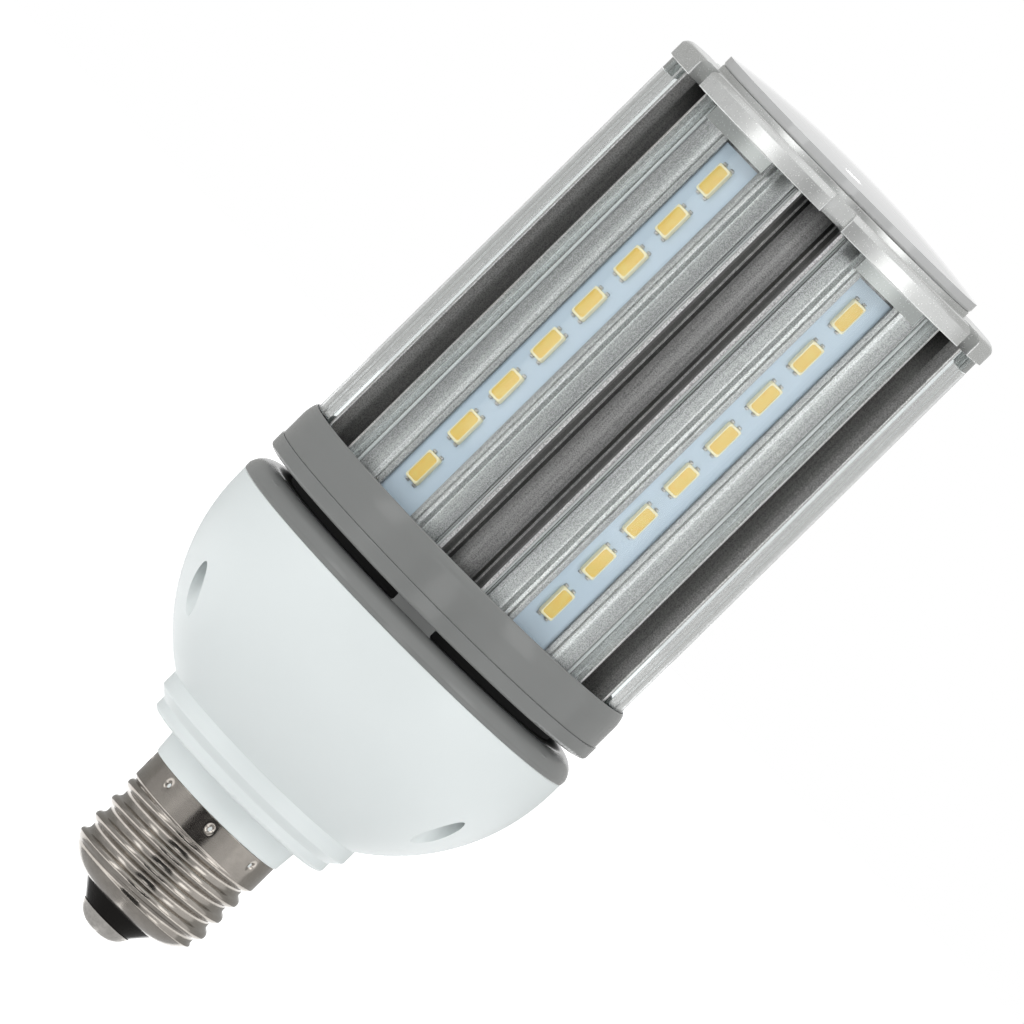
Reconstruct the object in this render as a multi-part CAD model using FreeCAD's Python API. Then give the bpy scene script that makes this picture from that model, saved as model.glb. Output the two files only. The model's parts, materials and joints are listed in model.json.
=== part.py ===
import FreeCAD, Part
import math
import os

from FreeCAD import Placement, Rotation, Vector

# Corn lamp with an Edison screw base, in millimetres.
# The origin is the tip of the centre contact, +Z runs up the lamp to its head.
# The middle of one channel of the light head faces -Y, as does one rib of the vent ring.

# How far a cutting body runs past the face that it cuts
cut_over = 1.0

# Centre contact and base insulator
contact_radius = 4.9
contact_height = 2.6
contact_tip_flat = 1.3
contact_bulge_height = 0.65
contact_shank_radius = 1.5
contact_shank_bore = 0.65
contact_shank_height = 6.6
insulator_neck_height = 0.2
insulator_cone_height = 2.8
insulator_plug_fit = 0.05
insulator_plug_height = 2.4
insulator_fit = 0.03

# Edison screw shell, rolled from sheet
thread_crest_radius = 13.15
thread_depth = 1.05
thread_pitch = 3.629
thread_half_width = 1.7
thread_first_crest = 3.24
thread_start_azimuth = 180.0
thread_top_gap = 0.7585
shell_wall = 0.3
shell_height = 21.7
shell_bowl_height = 4.4
shell_band_height = 5.0
shell_band_slope = 1.0
shell_hole_setback = 5.8
shell_core_lift = 0.06
shell_ridge_root = 0.24
shell_bowl_bulge_height = 0.9

# Driver housing, one white moulding
housing_wall = 2.0
sleeve_shell_fit = 0.2
sleeve_wall = 1.7
sleeve_lift = 3.2
sleeve_band_fit = 0.05
neck_overhang = 0.25
neck_flare = 0.4
neck_height = 4.7
step_two_setback = 1.6
step_two_height = 2.1
step_two_round = 0.6
step_chamfer_height = 1.5
step_one_radius = 20.3
step_one_height = 2.7
dome_overhang = 1.35
housing_edge_round = 0.3
housing_rim_round = 0.15
dome_rim_height = 1.6
guide_rib_thickness = 1.2
guide_rib_reach = 2.6
guide_rib_base = 3.0
guide_rib_root = 0.8

# Screws that close the housing, in pockets of the dome
housing_screw_count = 3
housing_screw_azimuth = 60.0
housing_screw_setback = 4.4
pocket_radius = 2.2
pocket_boss_wall = 1.6
pocket_seat_depth = 9.2
housing_screw_shank = 1.2
housing_screw_length = 12.0
housing_screw_head_height = 1.8
housing_screw_head_fit = 0.1
shank_clearance = 0.25
thread_bite = 0.04

# Vent ring, one grey moulding
ring_flange_overhang = 0.1
ring_flange_height = 3.65
ring_flange_round_width = 4.0
ring_flange_round_height = 2.8
ring_flange_bulge_height = 0.93
ring_spigot_wall = 1.9
ring_spigot_depth = 2.5
ring_spigot_fit = 0.3
ring_plate = 2.2
vent_gap = 1.75
vent_neck_setback = 6.4
vent_neck_wall = 2.5
vent_rib_width = 8.2
vent_rib_setback = 3.4
vent_rib_flare = 0.45
vent_rib_count = 3
vent_rib_root = 0.3
ring_dish_overhang = 1.15
ring_edge_round = 0.15
ring_dish_height = 2.7
ring_dish_floor = 1.5
ring_dish_wall = 2.0
ring_dish_corner = 0.6
wire_hole_radius = 8.0

# Lamp collar, one grey moulding
collar_overhang = 0.95
collar_height = 6.9
collar_floor_lift = 1.3
collar_floor = 1.5
collar_crown_height = 3.2
collar_crown_drop = 0.45
collar_crown_bulge_height = 0.15
collar_lip_round = 0.25
wire_slot_length = 7.6
wire_slot_width = 1.5

# Outer radius of the lenses, which the head, the rings and the dome are set from
lens_radius = 34.25

# Sectors of the light head
sector_count = 6
first_strip_angle = -60.0

# Heat sink, an aluminium extrusion, half sector in strip coordinates
sink_length = 83.1
pad_setback = 6.15
pad_half_width = 4.4
rail_lip_half_gap = 4.05
rail_setback = 4.35
rail_edge_round = 0.1
rail_outer = 6.2
rail_foot = 6.6
rail_groove_centre = 5.3
rail_groove_width = 0.5
rail_groove_depth = 0.3
shoulder_setback = 5.25
shoulder_width = 2.87
shoulder_edge_round = 0.15
shoulder_lip = 1.0
lens_slot_height = 1.0
lens_slot_gap = 0.9
channel_step_setback = 7.35
channel_edge_round = 0.15
channel_step_outer_share = 0.569
channel_step_inner_share = 0.5
channel_corner_setback = 8.95
channel_floor_share = 0.397
channel_floor_setback = 9.25
fin_setback = 1.5
fin_tip_wall = 0.65
fin_tip_round = 0.2
core_pad_wall = 2.5
core_pad_half = 6.6
core_corner_drop = 1.0
core_corner_half = 8.0
core_channel_wall = 1.8
core_channel_side_wall = 1.2
port_count = 3
port_first_angle = 0.0
port_setback = 2.1
port_radius = 3.0
port_bore = 1.35

# Clear lens over each strip
lens_wall = 1.15
lens_side_wall = 0.6
lens_corner = 1.8
lens_inner_corner = 1.0
lens_shoulder_fit = 0.1
lens_fin_fit = 0.05
lens_foot_fit = 0.1
lens_foot_end_fit = 0.2
lens_end_fit = 0.2
lens_collar_fit = 0.15
lens_tab_fit = 0.15

# LED boards and LED packages
board_thickness = 1.2
board_side_fit = 0.1
board_lip_fit = 0.1
board_bottom_fit = 0.3
board_top_gap = 2.95
led_count = 8
led_top_inset = 9.25
led_bottom_inset = 10.5
led_offset = -0.55
led_width = 3.0
led_length = 5.7
led_height = 0.9
phosphor_width = 2.3
phosphor_length = 4.9
phosphor_depth = 0.25

# End cap with six lobes and its top disc
cap_overhang = 0.55
cap_edge_round = 0.2
cap_skirt_height = 2.65
cap_round_width = 2.0
cap_round_height = 1.1
cap_round_bulge_height = 0.37
cap_boss_setback = 7.15
cap_boss_height = 1.0
cap_rim_wall = 1.2
cap_core_gap = 0.7
cap_core_depth = 1.9
cap_notch_width = 4.5
cap_notch_depth = 3.8
cap_notch_round = 0.25
cap_notch_relief = 0.8
cap_relief_depth = 10.3
cap_clocking = 3.1
cap_tab_wall = 1.65
cap_tab_setback = 0.1
cap_tab_clocking = -1.0
cap_tab_half_angle = 12.2
cap_tab_depth = 2.4
cap_tab_root = 0.5
disc_overhang = 0.1
disc_foot_round = 0.45
disc_edge = 1.75
disc_crown = 1.95
disc_wall = 1.4
disc_spigot_wall = 1.2
disc_spigot_fit = 0.1

# Screws into the ports of the heat sink
port_screw_shank = 1.31
port_screw_head_radius = 2.7
port_screw_head_height = 1.8
port_screw_length = 14.0
port_screw_head_fit = 0.2
port_post_radius = 3.2

# Driver board and what it carries
driver_board_thickness = 1.6
driver_slot_fit = 0.1
driver_tongue_fit = 0.7
driver_tongue_start = 8.0
driver_tongue_length = 23.6
driver_main_fit = 2.3
driver_top_gap = 2.445
part_fit = 0.05
core_width = 16.0
core_length = 14.0
core_depth = 5.0
core_leg = 4.0
core_yoke = 2.2
bobbin_foot = 1.7
bobbin_flange = 0.8
winding_build = 2.6
transformer_side = 6.5
transformer_top_gap = 1.5
input_cap_radius = 5.0
input_cap_length = 16.0
input_cap_side = -9.0
input_cap_top_gap = 3.5
output_cap_radius = 4.0
output_cap_length = 12.0
output_cap_side = 8.5
output_cap_top_gap = 8.0
can_groove_depth = 0.4
can_groove_height = 1.2
can_groove_inset = 1.8
film_cap_side_gap = 4.4
film_cap_depth = 5.0
film_cap_height = 8.0
film_cap_rise = 15.8
fuse_radius = 1.9
fuse_length = 9.0
fuse_side = 3.2
fuse_rise = 1.5
fuse_end_round = 0.6
bridge_size = (6.4, 2.5, 4.8)
bridge_side = 0.0
bridge_rise = 12.0
choke_radius = 4.0
choke_height = 8.0
choke_flange = 1.2
choke_waist = 2.6
choke_edge_gap = 8.0
choke_rise = 9.0
chip_size = (4.9, 1.5, 3.9)
chip_side = 0.0
chip_rise = 5.0

# Wires
mains_wire_radius = 0.6
strip_wire_radius = 0.5
wire_bend = 1.4
strip_wire_pad = 2.5
strip_wire_rise = 2.6
wire_gap = 0.1
live_wire_stub = 1.2
live_wire_rise = 2.2
neutral_wire_turn_gap = 1.7
neutral_wire_rib_gap = 4.3
neutral_wire_climb = 3.5
neutral_wire_lean = 3.0
neutral_wire_end = 8.4
feed_wire_side = 2.2
feed_wire_inset = 9.3
feed_wire_swing = 22.0
feed_wire_drop = 1.2

# Radii that follow the screw shell
shell_hole_radius = thread_crest_radius - shell_hole_setback
insulator_plug_radius = shell_hole_radius - insulator_plug_fit
sleeve_radius = thread_crest_radius - thread_depth - shell_wall - sleeve_shell_fit
sleeve_bore = sleeve_radius - sleeve_wall
neck_radius_low = thread_crest_radius + neck_overhang
neck_radius_high = neck_radius_low + neck_flare
step_two_radius = step_one_radius - step_two_setback
thread_climb = shell_height - shell_band_height - thread_first_crest - thread_top_gap
driver_tongue_half = sleeve_bore - driver_tongue_fit
driver_main_half = step_one_radius - housing_wall - driver_main_fit

# Radii that follow the lenses
dome_radius = lens_radius + dome_overhang
dome_bore_radius = dome_radius - housing_wall
housing_screw_radius = dome_radius - housing_screw_setback
ring_flange_radius = dome_radius + ring_flange_overhang
ring_dish_radius = lens_radius + ring_dish_overhang
vent_neck_radius = ring_dish_radius - vent_neck_setback
vent_rib_radius = ring_dish_radius - vent_rib_setback
collar_radius = lens_radius + collar_overhang
collar_bore_radius = lens_radius + lens_collar_fit
cap_radius = lens_radius + cap_overhang
cap_boss_radius = cap_radius - cap_boss_setback
cap_notch_radius = cap_radius - cap_notch_depth
cap_relief_radius = cap_radius - cap_relief_depth
disc_radius = cap_boss_radius + disc_overhang
disc_spigot_radius = cap_boss_radius - cap_rim_wall - disc_spigot_fit

# Half section of a sector, in strip coordinates
half_sector = math.radians(180.0 / sector_count)
pad_distance = lens_radius - pad_setback
rail_top = lens_radius - rail_setback
shoulder_distance = lens_radius - shoulder_setback
slot_top = shoulder_distance - shoulder_lip
slot_bottom = slot_top - lens_slot_height
lens_slot_root = rail_foot + lens_slot_gap
shoulder_end = rail_foot + shoulder_width
shoulder_edge_half = slot_top * math.sin(half_sector) - shoulder_end * math.cos(half_sector)
lens_side_half = shoulder_edge_half - lens_side_wall - lens_shoulder_fit
fin_top = lens_radius - fin_setback
fin_inner_half = lens_side_half - lens_fin_fit
fin_outer_half = fin_inner_half - fin_tip_wall
channel_step_distance = lens_radius - channel_step_setback
channel_step_outer_half = channel_step_outer_share * shoulder_edge_half
channel_step_inner_half = channel_step_inner_share * shoulder_edge_half
channel_floor_corner = lens_radius - channel_corner_setback
channel_floor_half = channel_floor_share * shoulder_edge_half
channel_floor_distance = lens_radius - channel_floor_setback
core_pad_distance = pad_distance - core_pad_wall
core_corner_distance = core_pad_distance - core_corner_drop
core_channel_distance = channel_floor_distance - core_channel_wall
core_channel_half = channel_floor_half + core_channel_side_wall
port_distance = channel_floor_distance - port_setback
cap_core_radius = port_distance - port_post_radius - cap_core_gap

# Levels up the lamp, from the tip of the contact
contact_top = contact_height
insulator_shoulder = contact_top + insulator_neck_height
shell_bottom = insulator_shoulder + insulator_cone_height
shell_top = shell_bottom + shell_height
neck_top = shell_top + neck_height
step_two_top = neck_top + step_two_height
step_one_bottom = step_two_top + step_chamfer_height
step_one_top = step_one_bottom + step_one_height
dome_centre = step_one_top + math.sqrt(dome_radius**2 - step_one_radius**2)
housing_top = dome_centre + dome_rim_height
flange_top = housing_top + ring_flange_height
dish_bottom = flange_top + vent_gap
dish_floor_top = dish_bottom + ring_dish_floor
parting = dish_bottom + ring_dish_height
collar_floor_bottom = parting + collar_floor_lift
seat = collar_floor_bottom + collar_floor
collar_top = parting + collar_height
sink_top = seat + sink_length
cap_side_top = sink_top + cap_skirt_height
cap_plateau = cap_side_top + cap_round_height
cap_boss_top = cap_plateau + cap_boss_height
disc_edge_top = cap_boss_top + disc_edge
lamp_top = disc_edge_top + disc_crown

# Places on the strips, the shell and the driver board
led_pitch = (sink_length - led_top_inset - led_bottom_inset) / (led_count - 1)
shell_band_bottom = shell_top - shell_band_height
board_top = pad_distance + board_thickness
led_top = board_top + led_height
board_low = seat + board_bottom_fit
board_high = sink_top - board_top_gap
round_middle = math.cos(math.radians(45.0))
driver_back = driver_board_thickness / 2.0
driver_front = -driver_back
driver_tongue_low = shell_bottom + driver_tongue_start
driver_main_low = driver_tongue_low + driver_tongue_length
driver_high = housing_top - driver_top_gap


def vec(point, plane):
    """Place a 2-D point in the X-Y plane or in the X-Z plane."""
    if plane == "xz":
        return Vector(point[0], 0.0, point[1])
    return Vector(point[0], point[1], 0.0)


def path_end(item):
    """Last point of a path item, without its rounding."""
    point = item[1] if isinstance(item[0], tuple) else item
    return point[:2]


def with_rounds(path):
    """Replace each corner that has a third number by an arc of that radius."""
    rounded = []
    for index, item in enumerate(path):
        if isinstance(item[0], tuple) or len(item) == 2:
            rounded.append(item)
            continue
        corner = Vector(item[0], item[1], 0.0)
        before = Vector(*path_end(path[index - 1]), 0.0) - corner
        after = Vector(*path_end(path[(index + 1) % len(path)]), 0.0) - corner
        before.normalize()
        after.normalize()
        half_turn = before.getAngle(after) / 2.0
        trim = item[2] / math.tan(half_turn)
        towards = (before + after).normalize()
        middle = corner + towards * (item[2] / math.sin(half_turn) - item[2])
        start = corner + before * trim
        end = corner + after * trim
        rounded.append((start.x, start.y))
        rounded.append(((middle.x, middle.y), (end.x, end.y)))
    return rounded


def closed_wire(path, plane):
    """Closed wire; an item is a point, a corner with its radius, or two points of an arc."""
    path = with_rounds(path)
    points = [path_end(item) for item in path]
    edges = []
    for index, item in enumerate(path):
        start = vec(points[index - 1], plane)
        if isinstance(item[0], tuple):
            middle = vec(item[0], plane)
            edges.append(Part.Arc(start, middle, vec(item[1], plane)).toShape())
        else:
            edges.append(Part.makeLine(start, vec(item, plane)))
    return Part.Wire(edges)


def turned(path):
    """Solid of revolution about Z from a path of (radius, height)."""
    face = Part.Face(closed_wire(path, "xz"))
    return face.revolve(Vector(0, 0, 0), Vector(0, 0, 1), 360.0)


def extruded(path, low, high):
    """Upright extrusion of a path in the X-Y plane."""
    face = Part.Face(closed_wire(path, "xy"))
    solid = face.extrude(Vector(0, 0, high - low))
    solid.translate(Vector(0, 0, low))
    return solid


def box(x_range, y_range, z_range):
    size = [span[1] - span[0] for span in (x_range, y_range, z_range)]
    return Part.makeBox(*size, Vector(x_range[0], y_range[0], z_range[0]))


def disc(radius, low, high, centre=(0.0, 0.0)):
    return Part.makeCylinder(radius, high - low, Vector(centre[0], centre[1], low))


def spun(shape, angle):
    """Copy of a shape turned about Z by an angle in degrees."""
    copy = shape.copy()
    copy.rotate(Vector(0, 0, 0), Vector(0, 0, 1), angle)
    return copy


def polar(radius, angle):
    return (radius * math.cos(math.radians(angle)), radius * math.sin(math.radians(angle)))


def azimuth_to_angle(azimuth):
    """Azimuth 0 faces -Y and grows towards +X."""
    return azimuth - 90.0


def arc_middle(start, end, bulge):
    """Point off the middle of a chord, to the right of its direction."""
    dx = end[0] - start[0]
    dy = end[1] - start[1]
    length = math.hypot(dx, dy)
    return (
        (start[0] + end[0]) / 2.0 + bulge * dy / length,
        (start[1] + end[1]) / 2.0 - bulge * dx / length,
    )


def on_circle(centre, radius, angle):
    x, y = polar(radius, angle)
    return (centre[0] + x, centre[1] + y)


def round_corner(radius, half, bend):
    """Round between a wall beside the X axis and a circle about Z: start, middle and end."""
    centre = (math.sqrt((radius - bend) ** 2 - (half + bend) ** 2), half + bend)
    reach = math.hypot(*centre)
    on_wall = (centre[0], half)
    on_arc = (centre[0] * radius / reach, centre[1] * radius / reach)
    towards = Vector(on_wall[0] + on_arc[0], on_wall[1] + on_arc[1], 0.0) / 2.0
    towards = (towards - Vector(*centre, 0.0)).normalize() * bend
    middle = (centre[0] + towards.x, centre[1] + towards.y)
    return on_wall, middle, on_arc


def strip_angles():
    step = 360.0 / sector_count
    return [first_strip_angle + step * index for index in range(sector_count)]


def port_angles():
    return [port_first_angle + 360.0 / port_count * index for index in range(port_count)]


def housing_screw_angles():
    first = azimuth_to_angle(housing_screw_azimuth)
    step = 360.0 / housing_screw_count
    return [first + step * index for index in range(housing_screw_count)]


def centre_contact():
    """Domed contact with a hollow shank for the live wire."""
    tip = (contact_tip_flat, 0.0)
    rim = (contact_radius, contact_height)
    shank_top = contact_top + contact_shank_height
    return turned([
        (0.0, 0.0),
        tip,
        (arc_middle(tip, rim, contact_bulge_height), rim),
        (contact_shank_radius, contact_top),
        (contact_shank_radius, shank_top),
        (contact_shank_bore, shank_top),
        (contact_shank_bore, contact_top),
        (0.0, contact_top),
    ])


def base_insulator():
    """Black cone between the contact and the shell, plugged into the shell."""
    bore = contact_shank_radius + insulator_fit
    plug_top = shell_bottom + insulator_plug_height
    return turned([
        (bore, contact_top),
        (contact_radius, contact_top),
        (contact_radius, insulator_shoulder),
        (insulator_plug_radius, shell_bottom),
        (insulator_plug_radius, plug_top),
        (bore, plug_top),
    ])


def thread_ridge(crest):
    """Helical ridge of the rolled thread, with round crest and round roots."""
    root = crest - thread_depth
    half = thread_half_width
    bend = (half**2 + thread_depth**2) / (4.0 * thread_depth)
    swing = math.degrees(math.asin(half / 2.0 / bend))
    root_low = (root + bend, -half)
    root_high = (root + bend, half)
    crest_centre = (crest - bend, 0.0)
    foot = root - shell_ridge_root
    profile = closed_wire([
        (foot, -half),
        (root, -half),
        (on_circle(root_low, bend, 180.0 - swing / 2.0), on_circle(root_low, bend, 180.0 - swing)),
        ((crest, 0.0), on_circle(crest_centre, bend, swing)),
        (on_circle(root_high, bend, 180.0 + swing / 2.0), (root, half)),
        (foot, half),
    ], "xz")
    helix = Part.makeHelix(thread_pitch, thread_climb, root)
    ridge = Part.Wire(helix.Edges).makePipeShell([profile], True, True)
    start = shell_bottom + thread_first_crest
    ridge.Placement = Placement(
        Vector(0, 0, start),
        Rotation(Vector(0, 0, 1), azimuth_to_angle(thread_start_azimuth)),
    )
    return ridge


def shell_form(offset, top):
    """Filled form of the screw shell, drawn in by the given offset."""
    crest = thread_crest_radius - offset
    core = crest - thread_depth + shell_core_lift
    low = shell_bottom
    band_low = shell_band_bottom + offset
    body = disc(core, low, top)
    body = body.fuse(thread_ridge(crest))
    body = body.fuse(turned([
        (0.0, band_low - shell_band_slope),
        (core - shell_wall, band_low - shell_band_slope),
        (crest, band_low),
        (crest, top),
        (0.0, top),
    ]))
    bowl_low = (shell_hole_radius - offset, low + offset)
    bowl_high = (crest, low + shell_bowl_height)
    limit = turned([
        (0.0, low + offset),
        bowl_low,
        (arc_middle(bowl_low, bowl_high, shell_bowl_bulge_height), bowl_high),
        (crest, top),
        (0.0, top),
    ])
    return body.common(limit)


def screw_shell():
    """Rolled sheet shell: the same form inside and out, one wall apart."""
    outer = shell_form(0.0, shell_top)
    inner = shell_form(shell_wall, shell_top + cut_over)
    hole = disc(shell_hole_radius, shell_bottom - cut_over, shell_bottom + 2.0 * shell_wall)
    return outer.cut(inner).cut(hole)


def housing_screw_places():
    return [polar(housing_screw_radius, angle) for angle in housing_screw_angles()]


def dome_point(radius, level_radius):
    """Point of a sphere about the dome's centre at a distance from the axis."""
    return (level_radius, dome_centre - math.sqrt(radius**2 - level_radius**2))


def sphere_arc(radius, start, end):
    """Arc of the dome between two of its points, as a path item."""
    first = math.atan2(start[1] - dome_centre, start[0])
    last = math.atan2(end[1] - dome_centre, end[0])
    middle = (first + last) / 2.0
    return ((radius * math.cos(middle), dome_centre + radius * math.sin(middle)), end)


def housing_outline():
    """Outer half section of the white housing, from the sleeve to the rim."""
    sleeve_low = shell_bottom + sleeve_lift
    band_radius = thread_crest_radius - shell_wall - sleeve_band_fit
    band_low = shell_band_bottom + shell_wall
    corner = neck_top + step_two_round
    dome_low = (step_one_radius, step_one_top)
    dome_high = (dome_radius, dome_centre)
    on_round = (
        step_two_radius - step_two_round * (1.0 - round_middle),
        corner - step_two_round * round_middle,
    )
    return [
        (0.0, sleeve_low),
        (sleeve_radius, sleeve_low),
        (sleeve_radius, band_low),
        (band_radius, band_low + (band_radius - sleeve_radius)),
        (band_radius, shell_top),
        (neck_radius_low, shell_top, housing_rim_round),
        (neck_radius_high, neck_top),
        (step_two_radius - step_two_round, neck_top),
        (on_round, (step_two_radius, corner)),
        (step_two_radius, step_two_top, housing_edge_round),
        (step_one_radius, step_one_bottom, housing_edge_round),
        dome_low,
        sphere_arc(dome_radius, dome_low, dome_high),
        (dome_radius, housing_top, housing_rim_round),
        (0.0, housing_top),
    ]


def housing_cavity():
    """Inner half section of the white housing."""
    inner_step = step_one_radius - housing_wall
    low_point = dome_point(dome_bore_radius, inner_step)
    high_point = (dome_bore_radius, dome_centre)
    floor = neck_top + housing_wall
    chamfer = step_two_radius - housing_wall
    return turned([
        (0.0, shell_bottom),
        (sleeve_bore, shell_bottom),
        (sleeve_bore, floor),
        (chamfer, floor),
        (inner_step, floor + step_chamfer_height),
        low_point,
        sphere_arc(dome_bore_radius, low_point, high_point),
        (dome_bore_radius, housing_top + cut_over),
        (0.0, housing_top + cut_over),
    ])


def dome_body(radius):
    """Filled dome of a given radius, from the steps to the rim."""
    low = dome_point(radius, step_one_radius - housing_wall)
    high = (radius, dome_centre)
    return turned([
        (0.0, low[1]),
        low,
        sphere_arc(radius, low, high),
        (radius, housing_top),
        (0.0, housing_top),
    ])


def guide_ribs():
    """Two pairs of ribs that hold the driver board's tongue in the sleeve."""
    slot = driver_board_thickness / 2.0 + driver_slot_fit
    low = driver_tongue_low + guide_rib_base
    high = neck_top + housing_wall
    ribs = []
    for side in (-1.0, 1.0):
        for face in (-1.0, 1.0):
            across = sorted((side * (sleeve_bore - guide_rib_reach), side * (sleeve_bore + guide_rib_root)))
            along = sorted((face * slot, face * (slot + guide_rib_thickness)))
            ribs.append(box(across, along, (low, high)))
    return ribs


def driver_housing():
    """White housing with its sleeve, steps, dome, screw pockets and guide ribs."""
    envelope = turned(housing_outline())
    shell = envelope.cut(housing_cavity())
    boss_radius = pocket_radius + pocket_boss_wall
    seat_level = housing_top - pocket_seat_depth
    low = step_one_top
    bosses = [disc(boss_radius, low, housing_top, place) for place in housing_screw_places()]
    inside = dome_body(dome_radius - housing_wall / 2.0)
    bosses = [boss.common(inside) for boss in bosses]
    shell = shell.multiFuse(bosses + guide_ribs())
    pockets = []
    for place in housing_screw_places():
        pockets.append(disc(pocket_radius, low, seat_level, place))
        hole = housing_screw_shank + shank_clearance
        pockets.append(disc(hole, seat_level - cut_over, housing_top + cut_over, place))
    return shell.cut(Part.makeCompound(pockets))


def housing_screws():
    """Pan head screws that hold the vent ring on the housing."""
    seat_level = housing_top - pocket_seat_depth
    screws = []
    for place in housing_screw_places():
        head_radius = pocket_radius - housing_screw_head_fit
        head = disc(head_radius, seat_level - housing_screw_head_height, seat_level, place)
        shank = disc(housing_screw_shank, seat_level, seat_level + housing_screw_length, place)
        screws.append(head.fuse(shank).removeSplitter())
    return Part.makeCompound(screws)


def ring_section():
    """Half section of the vent ring: flange, neck and dish."""
    flange_inner = vent_neck_radius - vent_neck_wall
    spigot_outer = dome_bore_radius - ring_spigot_fit
    spigot_inner = spigot_outer - ring_spigot_wall
    plate_low = flange_top - ring_plate
    round_low = (ring_flange_radius, flange_top - ring_flange_round_height)
    round_high = (ring_flange_radius - ring_flange_round_width, flange_top)
    return [
        (spigot_inner, housing_top - ring_spigot_depth),
        (spigot_outer, housing_top - ring_spigot_depth),
        (spigot_outer, housing_top),
        (ring_flange_radius, housing_top, ring_edge_round),
        round_low,
        (arc_middle(round_low, round_high, ring_flange_bulge_height), round_high),
        (vent_neck_radius, flange_top),
        (vent_neck_radius, dish_bottom),
        (ring_dish_radius, dish_bottom, ring_dish_corner),
        (ring_dish_radius, parting, ring_edge_round),
        (ring_dish_radius - ring_dish_wall, parting),
        (ring_dish_radius - ring_dish_wall, dish_floor_top),
        (wire_hole_radius, dish_floor_top),
        (wire_hole_radius, dish_bottom),
        (flange_inner, dish_bottom),
        (flange_inner, plate_low),
        (spigot_inner, plate_low),
    ]


def vent_rib():
    """Rib across the open gap at azimuth 0, flared at its foot and its head."""
    half = vent_rib_width / 2.0
    wide = half + vent_rib_flare
    near = wide - vent_rib_flare * round_middle
    low = flange_top - vent_rib_root
    high = dish_bottom + vent_rib_root
    foot = flange_top + vent_rib_flare
    head = dish_bottom - vent_rib_flare
    foot_middle = foot - vent_rib_flare * round_middle
    head_middle = head + vent_rib_flare * round_middle
    face = Part.Face(closed_wire([
        (-wide, low),
        (wide, low),
        (wide, flange_top),
        ((near, foot_middle), (half, foot)),
        (half, head),
        ((near, head_middle), (wide, dish_bottom)),
        (wide, high),
        (-wide, high),
        (-wide, dish_bottom),
        ((-near, head_middle), (-half, head)),
        (-half, foot),
        ((-near, foot_middle), (-wide, flange_top)),
    ], "xz"))
    inside = vent_neck_radius - vent_neck_wall / 2.0
    rib = face.extrude(Vector(0, inside - vent_rib_radius, 0))
    rib.translate(Vector(0, -inside, 0))
    return rib


def vent_ring():
    """Grey ring with an open gap around its neck, bridged by three ribs."""
    ring = turned(ring_section())
    ribs = [spun(vent_rib(), 360.0 / vent_rib_count * index) for index in range(vent_rib_count)]
    bosses = []
    posts = []
    holes = []
    boss_radius = pocket_radius + pocket_boss_wall
    spigot_low = housing_top - ring_spigot_depth
    for place in housing_screw_places():
        bosses.append(disc(boss_radius, housing_top, flange_top - ring_plate / 2.0, place))
        holes.append(disc(boss_radius + ring_spigot_fit, spigot_low - cut_over, housing_top, place))
        hole = housing_screw_shank + thread_bite
        screw_tip = housing_top - pocket_seat_depth + housing_screw_length
        holes.append(disc(hole, housing_top - cut_over, screw_tip + shank_clearance, place))
    for angle in port_angles():
        place = polar(port_distance, angle)
        posts.append(disc(port_post_radius, dish_bottom, collar_floor_bottom, place))
        holes.append(disc(port_screw_shank + shank_clearance, dish_bottom - cut_over, seat, place))
    ring = ring.multiFuse(ribs + bosses + posts)
    return ring.cut(Part.makeCompound(holes))


def lamp_collar():
    """Grey collar round the foot of the lenses, with the floor they stand on."""
    crown_low = (collar_radius, collar_top - collar_crown_height)
    crown_high = (collar_radius - collar_crown_drop, collar_top - collar_lip_round)
    lip = (crown_high[0] - collar_lip_round, collar_top)
    inner = ring_dish_radius - ring_dish_wall
    collar = turned([
        (inner, parting),
        (collar_radius, parting, ring_edge_round),
        crown_low,
        (arc_middle(crown_low, crown_high, collar_crown_bulge_height), crown_high),
        lip,
        (collar_bore_radius, collar_top - collar_lip_round),
        (collar_bore_radius, seat),
        (wire_hole_radius, seat),
        (wire_hole_radius, collar_floor_bottom),
        (inner, collar_floor_bottom),
    ])
    cuts = []
    for angle in strip_angles():
        slot = box(
            (board_top + wire_gap, board_top + wire_gap + wire_slot_width),
            (-wire_slot_length / 2.0, wire_slot_length / 2.0),
            (collar_floor_bottom - cut_over, seat + cut_over),
        )
        cuts.append(spun(slot, angle))
    for angle in port_angles():
        place = polar(port_distance, angle)
        hole = port_screw_shank + shank_clearance
        cuts.append(disc(hole, collar_floor_bottom - cut_over, seat + cut_over, place))
    return collar.cut(Part.makeCompound(cuts))


def channel_point(distance, half, side):
    """Point beside a channel's centre line, in the coordinates of its strip."""
    along = distance * math.cos(half_sector) + half * math.sin(half_sector)
    across = distance * math.sin(half_sector) - half * math.cos(half_sector)
    return (along, side * across)


def at_level(level, half, side):
    """Point at a level above the axis on a line beside the channel."""
    across = (level * math.sin(half_sector) - half) / math.cos(half_sector)
    return (level, side * across)


def rotated_point(point, angle):
    turn = math.radians(angle)
    return (
        point[0] * math.cos(turn) - point[1] * math.sin(turn),
        point[0] * math.sin(turn) + point[1] * math.cos(turn),
        *point[2:],
    )


def rotated_item(item, angle):
    if isinstance(item[0], tuple):
        return tuple(rotated_point(point, angle) for point in item)
    return rotated_point(item, angle)


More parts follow.
